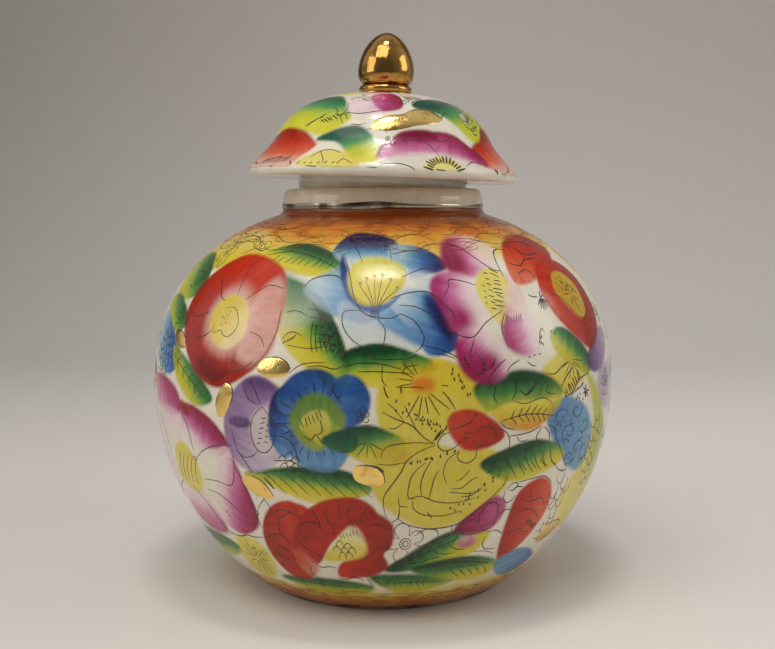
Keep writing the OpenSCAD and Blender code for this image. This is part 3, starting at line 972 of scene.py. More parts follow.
def middle_leaves(side):
    """The leaves between the flowers of the upper half."""
    side.patch([(-38, 97), (-30, 99.5), (-22, 99.5), (-14, 97.3), (-10.3, 94), (-18, 92.3),
                (-30, 94.5)], "leaf", (0.2, 1.05), 80)
    side.patch([(-29.5, 91.5), (-20, 90), (-13, 85), (-8.5, 77), (-7, 69.5), (-9.5, 66),
                (-16, 70.5), (-22, 76.5), (-25, 84)], "leaf", (0.12, 1.05), 45)
    side.patch([(-28, 92), (-21, 90.5), (-16, 87), (-16, 82.5), (-21, 79.5), (-26, 82)],
               "mist", (0.35, 1.0), 75, 4)
    side.line((-36, 97), (-28, 98), (-19, 96.5), (-12, 94))
    side.comb((-33, 95.5), (-15, 94), 2.6, 9, 40, 0.6)
    side.hatch(5, [(-15.6, 81.5), (-15.6, 77.5), (-15, 74.3)],
               [(-11.2, 79.9), (-11.6, 77.5), (-10.6, 74.3)], 0.7)
    side.hatch(5, [(-17.5, 84.5), (-13.5, 83.8), (-11, 82.5)],
               [(-14.3, 76.9), (-9.9, 76.2), (-8.2, 73.7)])
    side.hatch(5, [(-16.5, 86), (-14, 82.5), (-14, 79)],
               [(-10.1, 80.4), (-10, 77.7), (-10.4, 75.8)])
    side.comb((-13.5, 76.5), (-8.5, 72.5), 2.2, 8, 65, 1.0)
    side.line((-22.5, 77), (-21, 78.8), (-19, 78.8), (-17.8, 78), width=0.6)
    side.comb((-22, 76), (-20, 77.2), 1.4, 4, 60, 0.8)
    side.line((-22.5, 83.5), (-20, 84), (-17, 82.8), width=0.6)
    side.line((-21, 75.8), (-16, 75.2), (-12, 75.8), width=0.5)
    side.line((-16, 70.8), (-13, 71.2), (-10, 70.5), (-8, 71.5))


def yellow_leaves(side):
    """The two big yellow leaves in the middle, and the green ones beside them."""
    side.patch([(-1, 64), (1.5, 69), (5, 72), (12, 72.7), (17.5, 70), (20.5, 65), (22.5, 59),
                (16, 58), (11, 52.5), (4.5, 50.5), (0, 56)], "yellow", (0.58, 0.7), 90, 1.4)
    side.oval((7, 71), (5, 1.4), "yellow", (0.85, 0.85), soft=2)
    side.oval((8.5, 66.8), (2.6, 1.6), "yellow", (1.1, 1.1), soft=2.5)
    side.patch([(-2, 46), (0, 53), (8, 53), (16, 50.5), (24, 49.5), (29, 44), (27.5, 38), (20, 32),
                (11.5, 29.6), (4, 33), (-1.5, 39)], "yellow", (0.6, 0.62), 90, 1.4)
    side.oval((2, 50), (3.4, 2.2), "yellow", (0.85, 0.85), soft=2.5)
    side.patch([(23, 60.5), (33, 62), (42.5, 61.5), (40.5, 57.5), (34, 53.8), (27, 55.5)],
               "yellow", (0.95, 0.55), 90, 1.4)
    side.patch([(19.5, 65.5), (25, 68), (32, 68.8), (39, 66.5), (43.3, 62), (36, 61.5), (28, 61.5),
                (22.5, 60)], "leaf", (0.5, 1.1), 90, 1.4)
    side.patch([(21.5, 46), (28, 49.5), (36, 50.6), (43, 48), (45.3, 44.5), (38, 41.5), (29, 41)],
               "leaf", (0.25, 1.1), 105)
    side.line((10.5, 52.5), (8.5, 54), (6, 57), (3, 58.5), (0, 60.3), width=0.9)
    side.line((7, 56), (5.5, 59.5), (4.5, 62))
    side.line((4.5, 58), (2.5, 61), (1, 62.5), width=0.6)
    side.line((4.5, 57.8), (2.5, 56.3), (1.3, 56.5), width=0.6)
    side.line((1, 66.5), (0, 68), (0, 71.5))
    side.line((0.3, 66.5), (0.8, 64.5), (1.3, 63.8), width=1.1)
    side.line((3.8, 66.5), (3.9, 64.8), width=1.1)
    side.line((3, 66.2), (6.5, 66.3), (8.5, 66), width=0.6)
    side.fan((8.5, 66), 2, 7.5, 240, 320, 5, 0.8)
    side.fan((8, 67.5), 2, 6, 115, 190, 5, 0.6)
    side.line((4.3, 69), (4.8, 71), (7.5, 71.5), width=0.6)
    side.line((12.5, 65), (13.8, 63.3), (15.3, 60.5), width=0.9)
    side.line((12.3, 66.5), (13.8, 66.3))
    for k in range(5):
        side.dots((6.5 + k, 59.5 - 0.9 * k), (0.8, 0.8), 2, 0.35)
        side.dots((7.8 + k, 58.5 - 0.5 * k), (0.8, 0.8), 2, 0.35)
        side.dots((14.5 + k, 70 - 1.5 * k), (0.9, 0.9), 2, 0.45)
    side.dots((4, 61.5), (2, 2), 5)
    side.line((11.3, 74), (13.5, 73.6), (15.5, 72.8), width=0.6)
    side.line((11, 52), (7.5, 50.3), (5, 48), (4, 45.5), (2, 42), (0.3, 39), (0.2, 36), (0.8, 33),
              width=0.9)
    side.line((-0.5, 49), (0.6, 51.5), (3, 52.4), (7, 52.7), (11, 52.3))
    side.line((-1, 47.3), (2, 47.2), (4.8, 47.8), width=0.6)
    side.line((9, 47.5), (6.5, 44.8), (5.6, 41.5), (5.6, 38.5), (7, 38.2), width=0.8)
    side.line((10.2, 48), (8.8, 44.8), (8.2, 41.5), (8.5, 39), width=0.8)
    side.line((12, 45.5), (11, 43), (10.6, 40.5), (10.2, 38), width=0.8)
    side.line((16.5, 50), (14, 48.3), (13, 45), (14, 41.5), width=0.6)
    side.line((3.5, 38.5), (3.7, 36.3), (5.5, 36))
    side.line((3.7, 36), (3.5, 33), (2, 31.6), width=0.8)
    side.line((5.5, 38), (8, 38.8), (10, 38), (12, 37), (16, 36.4), (21, 37.2), width=0.8)
    side.line((6.6, 37.5), (7, 35.2), (9.5, 33.5), (14, 33), (18, 34), width=0.8)
    side.line((10, 34.3), (11.3, 32.5), width=0.9)
    side.line((15.2, 40.3), (17.5, 40.3), (19.3, 42), (21, 43))
    side.line((14.5, 39.5), (17, 39), (19.5, 38.6), (21.2, 39.2))
    side.line((16, 42.3), (17.5, 43), (19, 45))
    side.line((17.5, 38), (20, 38), (22.5, 39.8))
    side.line((3.2, 33), (5, 31.3), (8, 30), (12, 29.4), (17, 30), (21, 32.5), (24.5, 36), (28, 40),
              (29, 43.5), width=0.9)
    for k in range(7):
        side.dots((28 - 1.6 * k, 45 - 1.9 * k), (0.4, 0.4), 1)
        side.dots((26.2 - 1.6 * k, 44 - 1.6 * k), (0.5, 0.4), 1)
        side.dots((24.8 - 1.5 * k, 42 - 1.2 * k), (0.7, 0.5), 1)
        side.dots((6 + 1.5 * k, 47.6 + 0.4 * k), (0.5, 0.4), 2)
    side.line((23, 43.5), (25.5, 45), (27, 44.5))
    side.vein((26, 56.8), (31, 57.7), (36, 57.4), (40.5, 56.3), ribs=6, spread=2.2, width=0.9)
    side.line((23, 66.5), (24.5, 65), (24, 63), (24.8, 61.5), width=0.9)
    side.line((30, 66.5), (29.5, 64), (28.3, 61.5))
    side.line((30.5, 64), (32.5, 62.7), (34.5, 64.5), (35, 66), width=1.1)
    side.comb((31.8, 62.4), (35, 65), 1.8, 6, 30, 1.2)
    side.line((36, 62), (37, 64.5), (39, 65.5), (38, 62.8), (41, 62), width=0.8)
    side.line((29, 61.5), (32, 60.5), (37, 61.5), (40, 59.5))
    side.line((24.5, 46), (27, 48.5), (31, 49.8), (33, 48.5), (32.5, 46))
    side.hatch(6, [(28, 46.5), (29.3, 44.3), (31, 41.5)], [(40, 48), (41.3, 44.3), (43, 43)], 0.7)
    side.hatch(4, [(31.5, 45.5), (33, 43.7), (33.8, 42.8)],
               [(40.5, 45.5), (42, 43.7), (42.8, 42.8)], 0.7)


def rose(side):
    """The red flower at the bottom, and the small red, pink and blue ones to its right."""
    side.patch([(-31.8, 20), (-30.5, 28), (-26, 34.5), (-20.5, 36), (-20, 30), (-22, 22),
                (-19, 16.5), (-23, 12), (-29, 13)], "red", (0.88, 0.68), 0, 0.7)
    side.patch([(-24, 34), (-20.5, 35.8), (-17, 34.5), (-15, 31), (-19, 25), (-23, 26)],
               "red", (0.62, 0.74), 0, 0.7)
    side.patch([(-23, 22), (-20.5, 30), (-15, 36), (-8, 38.3), (-3.5, 37), (-1.5, 33), (-8, 30),
                (-13, 25), (-18, 18)], "red", (0.8, 0.8), 0, 0.7)
    side.patch([(-8, 31), (-3, 34.5), (2, 31), (2, 25), (0, 22), (1, 18), (-3, 15), (-12, 14),
                (-11, 18.5), (-5, 21.5), (-4.5, 26)], "red", (0.72, 0.88), 0, 0.7)
    side.patch([(-22, 22), (-19.5, 19), (-18, 16.5), (-21, 13.5), (-23.5, 16), (-24, 20)],
               "red", (0.5, 0.3), -40, 2)
    side.patch([(-15, 19.5), (-12.5, 24), (-8, 30), (-5.5, 29), (-4, 23), (-7, 20.5)],
               "yellow", (0.6, 0.1), 90, 1.0)
    side.patch([(13.8, 56), (15, 59.7), (20.5, 59.5), (26.5, 54), (24, 51), (17.5, 50.5)],
               "red", (0.65, 0.84), -20, 0.8)
    side.patch([(31.5, 29), (33, 37), (39, 39.9), (43.5, 36.5), (44.5, 29), (41, 21), (35.5, 16.3),
                (32.5, 20)], "red", (0.85, 0.52), 0, 1.0)
    side.patch([(17.3, 28.5), (21, 33), (26.5, 36.8), (29.7, 33.5), (27.5, 28), (22, 27)],
               "pink", (0.95, 0.7), 0)
    side.patch([(34, 15.5), (40, 18.4), (48, 16.5), (55, 11.5), (50, 9), (40, 10)],
               "blue", (0.5, 0.7), 0)
    side.line((-29.5, 30), (-25, 33.5), (-21, 33), (-19.5, 32), width=0.8)
    side.line((-22, 33), (-25, 31), (-26, 28), (-25, 25), (-22.5, 22.5), width=0.8)
    side.line((-31, 24), (-28, 26), (-25.3, 25.5), (-24.5, 23))
    side.line((-30.5, 19), (-28.5, 21.8), (-26, 21.5), (-24.5, 19.3), (-25.5, 17.5), width=0.8)
    side.line((-30, 16), (-27.5, 18), (-25.5, 17.5), (-24.3, 15))
    side.curl((-28, 19.5), 1.6, 1.1, 2)
    side.line((-20.5, 27), (-19.5, 30), (-17, 31), (-14.8, 29.5), (-13.5, 26.5), width=0.8)
    side.line((-21.5, 26), (-20.5, 23.5), (-18, 21.5), (-16, 20.3))
    side.line((-20, 25.5), (-17, 27), (-14.5, 26), width=0.6)
    side.line((-16.5, 35), (-15.2, 32), (-14.8, 29.5), width=0.8)
    side.line((-12.5, 36), (-13.3, 33), (-12, 30.5), (-11.5, 27.5), width=0.8)
    side.line((-10, 37.3), (-9.6, 34), (-10.5, 31.5))
    side.line((-6, 37.8), (-7.8, 35), (-7.6, 32), (-6.5, 30))
    side.line((-3, 36.5), (-4.8, 33.5), (-5.3, 31), width=0.8)
    side.line((1.5, 29.5), (-1.5, 31), (-4, 30.5))
    side.line((1.5, 23.5), (-1, 24.5), (-2.5, 22), (-5, 20.5))
    side.line((-3, 16.2), (-6, 17), (-9, 16.3), width=0.6)
    side.scales((-9.5, 22), (4, 2.6), 2.2, 90)
    side.comb((-10, 26.5), (-6, 28), 1.6, 6, 100, 0.6)
    side.line((-19.5, 18.5), (-17, 16.8), (-15, 17.3), (-13, 17), width=0.8)
    side.line((-20.3, 17), (-21, 14.5), (-19, 12.7), width=0.8)
    side.line((-13, 13.6), (-11, 13), (-8, 14), (-5.5, 13), width=0.8)
    side.line((-5, 15), (-4, 12.5), (-3, 11), width=0.8)
    side.line((14.3, 55.7), (16.5, 56.2), (18.8, 57.3), (20, 59.5), width=0.8)
    side.curl((18, 53.7), 1.3, 1.1, 0)
    side.line((19.5, 54), (22, 56), (24.5, 54.5), (24.5, 52.5), width=0.8)
    side.line((19.5, 52.8), (20.5, 51), (23, 51.5))
    side.line((16.8, 52.8), (15.2, 51), (13, 50.3), (11.5, 52), (12.5, 54.3), (14.5, 55), width=0.8)
    side.line((16.3, 50.3), (16, 48.2), (18, 46.8), (20, 48), (20.2, 50.3), width=0.8)
    side.line((25, 55.3), (27.2, 53.8), (28.2, 51.5), (28, 49.5), width=0.8)
    side.line((34, 35), (37, 33.6), (41, 34), (43, 31.5), width=0.8)
    side.line((36, 37.5), (37.5, 35), (37, 33.5))
    side.line((33.5, 30), (36, 31.5), (39, 31), (42.5, 28))
    side.line((33, 24.5), (36, 26), (38.5, 24.5), (41, 24))
    side.comb((38.5, 27), (42, 24.5), 1.8, 7, 60, 1.1)
    side.line((18.5, 28.5), (19.5, 30.3), (22, 31), (23.8, 29.3), width=0.8)
    side.line((23.8, 29.3), (23, 32), (25, 35.3), (27.5, 34.5), (27.8, 31), (26.3, 29.5), width=0.8)
    side.curl((25.5, 28), 1.7, 1.1)
    side.line((24.5, 26.8), (21, 26.5), (19, 27.5))


def low_leaves(side):
    """The leaves of the lower half, one with a pink spot."""
    side.patch([(-32, 42.5), (-24, 44.8), (-15, 46), (-7, 45), (-2.5, 40.5), (-8, 38), (-16, 36.8),
                (-25, 40)], "leaf", (0.1, 1.05), 85)
    side.patch([(-46, 17), (-42, 22.5), (-36, 22.7), (-32.5, 18), (-35, 12), (-41, 9.3), (-46, 11)],
               "yellow", (0.6, 0.5), 60, 1.5)
    side.patch([(-88, 9), (-75, 17), (-62, 20.3), (-50, 20.5), (-45, 18), (-53, 13.5), (-67, 11.5),
                (-82, 6)], "leaf", (0.1, 0.95), 95, 1.6)
    side.patch([(-33, 10.8), (-24, 12.4), (-12, 12.5), (-3, 10.4), (-8, 7.5), (-20, 7.3)],
               "leaf", (0.3, 0.95), 90, 1.6)
    side.patch([(-4, 14.3), (6, 15), (16, 13.6), (21.5, 11.6), (14, 9), (4, 8.7)],
               "leaf", (0.35, 0.9), 90, 1.6)
    side.patch([(0.5, 16.8), (7, 22), (14, 27), (20, 28.3), (27, 26.5), (24, 21), (15, 19),
                (7, 16.5)], "leaf", (0.2, 1.05), 130, 1.0)
    side.oval((21.5, 24.6), (2.8, 1.8), "pink", (0.6, 0.4), soft=2)
    side.patch([(8, 17), (17, 19.3), (26, 19), (35.5, 15), (31, 11), (22, 11.5), (12, 14.5)],
               "leaf", (0.2, 1.0), 95, 1.2)
    side.patch([(49, 31), (53, 38.5), (59, 41), (62, 33), (60, 25), (55, 24)],
               "yellow", (0.35, 0.5), 0, 3)
    side.hatch(8, [(-27, 43.5), (-24.5, 41.5), (-22, 38.6)],
               [(-7.4, 44.55), (-4.9, 41.5), (-2.4, 38.6)])
    side.line((-29, 43), (-22, 44.5), (-14, 44.8), width=0.6)
    side.fan((-39, 16), 0.8, 5.5, 0, 330, 11)
    side.fan((-36, 20), 0.8, 4, 190, 330, 5)
    side.vein((-75, 14), (-62, 17), (-50, 18), ribs=5)
    side.line((2, 17.5), (8, 20.5), (15, 24), (19, 26))
    side.hatch(4, [(7, 20.5), (7.5, 23), (10.5, 25)], [(14.5, 24.7), (15.3, 26.6), (17.7, 27.4)],
               0.7)
    side.hatch(4, [(6, 19), (9, 18.8), (12, 19.8)], [(16.5, 23.8), (19.2, 22.4), (21.6, 22.2)],
               0.7)
    side.line((15, 23), (17.5, 24.5), (18.3, 27.5))
    side.line((10, 17), (17, 18), (25, 17.6), (32.5, 15.5))
    side.hatch(5, [(13, 17.6), (15.5, 16.2), (17.5, 16)], [(25.8, 17.6), (28.3, 16.2), (31.1, 16)])
    side.hatch(5, [(19, 15.5), (21, 14), (23, 12.4)], [(29.4, 15.5), (31.4, 14), (32.6, 12.4)],
               0.7)
    side.vein((-1, 12), (8, 12), (18, 11.5), ribs=6, spread=2)
    side.vein((-29, 10.5), (-18, 10.3), (-7, 10), ribs=5, spread=2)
    side.line((-3, 14.5), (-1.5, 12), (1, 11), (1.5, 13), (3.5, 14.5))


def small_blossoms(side):
    """The blossoms that are only drawn in ink, and the loose strokes around them."""
    side.blossom((5.5, 25.2), 6.2, 5, 0.8)
    side.line((7.5, 27.5), (10, 29.3), (12.8, 28.8), (13.5, 26.5), width=0.8)
    side.line((16.5, 29.8), (16.6, 28), (18.3, 27.4))
    side.line((26.5, 26.5), (29, 26.8), (31.7, 25), width=0.8)
    side.line((26.2, 25.3), (26.3, 22.8), (27.8, 21.2), (31, 20.8), width=0.8)
    side.line((27.5, 28.8), (28.5, 31.5), (30.5, 32.7), (32, 32), width=0.8)
    side.line((24.5, 20.8), (28, 20.5), (31.5, 19), width=0.6)
    side.line((28.6, 38.3), (28.8, 35.5), (30.5, 34.7), (32, 36.5), width=0.8)
    side.line((29, 38.5), (30.5, 40), (32, 39.5), (31, 38), (29.6, 38.3), width=0.8)
    side.line((30.5, 37.8), (32, 38.8), (33.5, 38.4), width=1)
    side.scales((47.5, 34.5), (3.6, 6.5), 3.4, -70)
    side.scales((47.5, 24), (3.4, 3), 2.8, -40)
    side.line((32, 40), (36, 40.3), (40, 40.3), (43, 38), width=0.8)
    side.line((42.5, 43.5), (45, 41), (48, 40.5))
    side.line((28, 52.7), (31, 52.8), (34, 53.2), (36.5, 54.3), width=0.8)
    side.line((30, 52.5), (31, 51), (33, 51.2))
    side.line((25.5, 56.8), (27, 55), (29.3, 54.3), width=0.8)
    side.line((10.5, 52.8), (11.5, 54.5), (12.5, 55.8), width=1.1)
    side.comb((11, 53.2), (13, 55.5), 1.2, 4, 60, 1.2)
    side.blossom((-4, 59.5), 2, 5, 0.6)
    for centre, size in (((66, 61), 4), ((72, 45), 4), ((74, 35), 4), ((70, 80), 3)):
        side.blossom(centre, size)
    side.line((-35.5, 46), (-34, 42), (-32, 36), (-31, 31), width=0.8)
    side.line((-30, 36.5), (-29.3, 37.2), (-28, 36.3), (-29.5, 34.5), (-31, 32))
    side.line((-28, 36), (-27, 34), (-27.5, 32.3))
    side.line((-33, 36), (-31.8, 32), (-31.3, 27))
    side.comb((-33.5, 27.5), (-31.5, 30.5), 1.6, 4, 60, 0.8)
    side.line((-45.5, 24.3), (-43, 22.8), (-40, 23), (-38, 23.8), (-35, 23.7), (-32, 24.3), width=1)
    side.scales((-20.5, 46), (2.5, 2), 2, 60)
    side.line((-20, 69), (-17, 71.5), (-12, 72), width=0.6)


def gold_dabs(side):
    """The six dabs of raised gold, and two thick strokes beside them."""
    side.dab((-23.8, 70.2), (4.6, 2.6))
    side.dab((-36.6, 61), (2.6, 4.8), -25)
    side.dab((-29.4, 39.4), (4.9, 2.6), -25)
    side.dab((-3.1, 44.4), (4.3, 2.8), -25)
    side.dab((-55.5, 74.6), (4.4, 2.2), -20)
    side.dab((52, 21.3), (6, 3), 5)
    side.line((-27, 42), (-25.8, 40.8), (-24.8, 39.3), width=1.6)
    side.line((-2.5, 47), (-0.8, 46.4), (0.3, 45.3), width=1.6)


def flower(side, centre, reach, look, petals):
    """A round flower with a yellow heart and a ring of ink strokes."""
    for k in range(petals):
        across, up = reach * heading(math.pi / 2 - math.tau * (k + 0.3) / petals)
        tip = (centre[0] + across / side.skin.mm_per_degree, centre[1] + up)
        side.petal(centre, tip, reach * 4.6 / petals, look, (0.0, 0.95))
    side.oval(centre, (0.28 * reach, 0.28 * reach), "yellow", (0.6, 0.5))
    side.fan(centre, 0.34 * reach, 0.75 * reach, 0, 340, 13)


def leaf_pair(side, foot, tip, width, look="leaf"):
    """Two leaves that mirror each other across the middle of the drawing."""
    for hand in (-1, 1):
        a, b = (hand * foot[0], foot[1]), (hand * tip[0], tip[1])
        side.petal(a, b, width, look, (0.4, 0.6), lean=0.45 * hand, power=1.7, skew=1)
        side.vein(a, (0.5 * (a[0] + b[0]), 0.5 * (a[1] + b[1])), b, ribs=4, spread=0.3 * width)


def paint_jar_gap(side):
    """The flowers that fill the jar between its two painted sides."""
    leaf_pair(side, (3, 85), (17, 96), 11, "yellow")
    leaf_pair(side, (1, 64), (19, 63), 9)
    leaf_pair(side, (3, 33), (18, 26), 9, "yellow")
    leaf_pair(side, (2, 11), (20, 15), 7)
    flower(side, (-1, 79), 13, "red", 5)
    flower(side, (1, 48), 15, "blue", 6)
    flower(side, (-1, 23), 11, "pink", 5)
    for place in ((-13, 73), (14, 74), (-15, 52), (16, 51), (-13, 38), (15, 39), (0, 98)):
        side.blossom(place, 3.6)
    side.dab((11, 58), (4, 2.4), 30)
    side.dab((-10, 32), (4, 2.4), -30)


def paint_jar_side(side):
    """All that one side of the jar shows, from the lowest coat up."""
    for part in (right_edge, left_edge, yellow_leaves, middle_leaves, low_leaves, mallow, violet,
                 poppy, cornflower, peony, anemone, gentian, rose, small_blossoms, gold_dabs):
        part(side)


def scroll_band(side, low, high, size, flat, rows, count):
    """Cloud scrolls in fine ink all round a band; flat is their height by their width."""
    pitch = 360 / count
    for row in range(rows):
        for k in range(count):
            x = pitch * (k + 0.5 * row + side.dice.uniform(-0.2, 0.2)) - 180
            y = lerp(low, high, (row + 0.5) / rows) + side.dice.uniform(-0.5, 0.5) * size * flat
            hand = side.dice.choice((-1, 1))
            grow = size * side.dice.uniform(0.7, 1.15)
            turns, start = side.dice.uniform(1.0, 1.8), side.dice.uniform(0, 6)
            side.curl((x, y), grow, turns, start, hand, 0.38, flat)
            wave = grow * flat * hand
            places = [(x + pitch * t, y + wave * math.sin(4 * t)) for t in (-0.6, -0.2, 0.2, 0.6, 0.9)]
            side.line(*places, width=0.34)


# ---------------------------------------------------------------- the lid's flowers


def lid_leaves(side):
    """The green and yellow leaves on the slope and the brim, with their ink."""
    side.patch([(-88, 17), (-76, 24), (-58, 28.5), (-42, 29.3), (-30, 26.5), (-20.5, 20),
                (-19, 16.5), (-31, 12.3), (-45, 13.5), (-70, 13.5)], "teal", (-0.1, 1.0), 85, 1.4)
    side.patch([(-33, 10.5), (-25, 13.3), (-14, 14.8), (-6, 12), (-1.7, 6), (-4, 2.3), (-12, 3.5),
                (-21, 9.5)], "teal", (-0.1, 1.1), 110, 1.2)
    side.patch([(-37, 1.6), (-30, 5.5), (-20, 6.2), (-12, 4), (-10, 1), (-28, 0.6)],
               "yellow", (0.4, 0.55), 0, 1.4)
    side.patch([(18, 23), (25, 27), (38, 28.5), (55, 28.5), (72, 25), (80, 18), (70, 14), (57, 12),
                (49, 12.3), (42, 16.5), (33, 20.5)], "teal", (0.05, 1.15), 105, 1.2)
    side.patch([(-66, 32), (-48, 35), (-36, 35.5), (-24, 32.5), (-30, 30.5), (-45, 31.5)],
               "yellow", (0.35, 0.5), 90, 2)
    side.patch([(66, 26), (74, 29), (84, 27), (88, 19), (80, 16), (70, 19)],
               "yellow", (0.7, 0.9), 0, 2)
    side.oval((54, 20), (2.6, 1.7), "white", (0.5, 0.5), soft=1.6)
    side.comb((-45, 15), (-37, 18), 2.2, 6, 20, 1.2)
    side.comb((-36, 17), (-28, 19), 3, 6, -30, 1.1)
    side.line((-32, 22), (-28, 20.5), (-26, 18.5), (-22, 19), (-19.5, 17), width=1)
    side.line((-24, 24), (-22, 21), (-24, 18), (-21, 15.5), width=0.8)
    side.line((-60, 24), (-50, 27), (-40, 27.5), width=0.9)
    side.line((-84, 21), (-70, 26), (-56, 29.2), (-42, 30), (-31, 27.4), width=1.1)
    side.line((34, 28.6), (45, 29.6), (56, 29.2), (70, 26.5), (78, 21), width=0.9)
    for k in range(5):
        side.curl((56 + 3.4 * k, 15 + 3 * (k % 3)), 2.4, 1, 1.7 * k, (-1) ** k, 1.0)
    side.curl((54, 20), 3.2, 1.1, 1, 1, 1.1)
    side.line((48, 21), (50, 17), (55, 15.5), (60, 17), width=0.9)
    side.line((33, 18.8), (36, 20.3), (41, 22), width=1)
    side.comb((54, 17), (60, 20), 2.4, 5, 100, 1)
    side.line((-28, 6.3), (-25, 3.5), (-24, 1.5))
    side.line((-31, 4), (-27, 6.3), (-22, 6.6), (-18, 5.6), width=0.8)
    side.line((-18, 1.4), (-16, 3.4), (-12, 1.6))
    side.comb((-36, 1.2), (-20, 1.5), 1.2, 6, 60, 0.8)
    side.fan((-45, 31), 1, 4.5, 10, 170, 8)


def lid_tulip(side):
    """The red petals on the brim, left and right."""
    side.patch([(-90, 4), (-82, 11), (-70, 13.6), (-58, 14.5), (-43, 13), (-34, 9.5), (-32.5, 8),
                (-37, 4), (-41, 0.6), (-60, 0.2), (-88, 0.2)], "red", (0.22, 0.9), 90, 1.2)
    side.patch([(42, 6.5), (49, 10.5), (58, 12.6), (66, 16.5), (76, 16), (84, 10), (88, 3),
                (66, 0.6), (50, 2.2), (46, 3.5)], "red", (0.22, 0.95), 100, 1.4)
    side.comb((-60, 1.5), (-44, 2), 2.6, 8, 60, 1.1)
    side.line((-66, 1), (-58, 3), (-50, 4), (-44, 3.4), width=0.8)
    side.line((-75, 1.8), (-70, 2.4), (-66, 1.6), width=1.4)
    side.line((-41, 2.8), (-39, 0.8), width=1.1)
    side.line((62, 1.2), (67, 2), (72, 4.3), width=1.2)
    side.fan((54, 1.4), 0.1, 1.2, 150, 240, 3, 1.6)


def lid_crocus(side):
    """The pink flower that rises from the brim, and the petal below the finial."""
    side.patch([(-2, 4), (-1, 8), (3, 10), (8, 13), (18, 14), (25.5, 13.2), (26, 8), (18, 6),
                (6, 5)], "pink", (0.5, 0.95), 95, 1.0)
    side.patch([(24, 13), (31, 13.8), (39, 12.7), (45, 9.5), (50, 6), (49, 3), (44, 3.3), (33, 5),
                (25, 6)], "pink", (0.5, 1.0), 60, 1.0)
    side.patch([(4, 9.5), (9, 12.8), (18, 14), (25.5, 13.3), (25, 11), (12, 10.5)],
               "pink", (0.7, 1.2), 90, 1.6)
    side.patch([(2, 3.5), (10, 6), (22, 6.5), (34, 5.5), (46, 2.5), (30, 1.5), (10, 1.5)],
               "white", (0.4, 0.4), 0, 2)
    side.patch([(17, 0.8), (19.5, 3.5), (25, 4.8), (30.5, 3.6), (33, 0.8)],
               "yellow", (0.25, 0.6), 90, 0.8)
    side.patch([(-24, 27), (-12, 28.5), (-2, 26.5), (4, 22), (-4, 19.3), (-14, 19.6), (-22, 21)],
               "pink", (0.2, 0.4), 0, 2)
    side.patch([(-10, 28), (-4, 32), (5, 33), (11.5, 29), (11, 23), (4, 20.8), (-3, 21.5)],
               "pink", (0.6, 1.0), 0, 1.0)
    side.patch([(-38, 38), (-20, 40), (0, 39), (8, 36), (-4, 34), (-24, 34)],
               "pink", (0.25, 0.85), 0, 2)
    side.fan((25, -0.6), 3.6, 6.0, 18, 162, 14, 1.6)
    side.line((4, 9), (7, 10.8), (11, 10.4), (14, 11), (19, 10.6), (22.5, 8.6), (24.5, 5),
              width=0.8)
    side.line((26, 11.5), (29, 11), (34, 12))
    side.line((36, 2.4), (40, 4), (44, 3.8), (48, 3), width=0.9)
    side.line((-2, 5), (0, 8.5), (4, 9.5), width=1)
    side.line((-22, 19.6), (-14, 19.2), (-6, 20), (1, 21), width=0.9)
    side.line((-17, 27), (-12, 25.5), (-9, 26.5), width=0.8)


def lid_scribbles(side):
    """Loose ink strokes on the white ground, and dashes along the brim."""
    for k in range(6):
        side.curl((-23 + 3 * k, 27 + 1.6 * (k % 3)), 1.8, 1.0, k, (-1) ** k, 0.6)
        side.curl((13 + 2.4 * k, 25 + 1.8 * (k % 3)), 2, 1.1, 2 * k, (-1) ** k, 1.0)
        side.line((11 + 3 * k, 28 + k % 2), (14 + 3 * k, 31 - k % 3), (17 + 3 * k, 27), width=0.9)
    side.line((-1, 1.6), (5, 2.2), (10, 1.4), (12.5, 0.3), width=0.9)
    side.line((-17, 15.6), (-13, 15.2), (-9, 15.8))
    side.blossom((2, 11), 0.9)
    side.line((-9, 13.6), (-2, 14.6), (2, 12.8), width=0.6)
    for azimuth in (-80, -52, -31, -6, 21, 57, 74):
        side.line((azimuth, 0.7), (azimuth + side.dice.uniform(2, 5), 0.5),
                  width=side.dice.uniform(0.5, 1))


def lid_gold(side):
    """The long gold leaf in the middle of the slope."""
    edge = [(-7, 14.2), (-4.5, 17), (1, 18.6), (10, 19.6), (18, 22), (27, 22.4), (32, 20.5),
            (34.5, 18.4), (28, 16.6), (18, 15.6), (8, 14), (0, 13.4)]
    side.gild([side.flat(p) for p in edge])


def paint_lid_gap(side):
    """Leaves and petals that fill the lid between its two painted sides."""
    side.petal((-16, 26), (10, 36), 9, "teal", (0.2, 0.9), lean=0.3)
    side.petal((22, 28), (0, 22), 8, "pink", (0.1, 0.9))
    side.petal((-30, 36), (-6, 40), 6, "yellow", (0.4, 0.7))
    side.petal((34, 36), (14, 39), 6, "blue", (0.2, 0.8))
    side.petal((-8, 3), (12, 12), 8, "pink", (0.1, 0.8))
    side.vein((-12, 27), (0, 31), (9, 35), ribs=4)
    side.fan((2, 20), 1, 6, 20, 160, 7)


def paint_lid_side(side):
    """All that one side of the lid shows, from the lowest coat up."""
    for part in (lid_leaves, lid_tulip, lid_crocus, lid_scribbles, lid_gold):
        part(side)


# ---------------------------------------------------------------- plain pieces


def dress(node, material):
    """Smooth, welded shading over a CAD node, and its material."""
    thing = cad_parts[node]
    mesh = thing.data
    if "custom_normal" in mesh.attributes:
        mesh.attributes.remove(mesh.attributes["custom_normal"])
    mesh.polygons.foreach_set("use_smooth", [True] * len(mesh.polygons))
    weld = thing.modifiers.new("weld", "WELD")
    weld.merge_threshold = 0.002 * MM
    edges = thing.modifiers.new("edges", "EDGE_SPLIT")
    edges.split_angle = math.radians(40)
    mesh.materials.clear()
    mesh.materials.append(material)


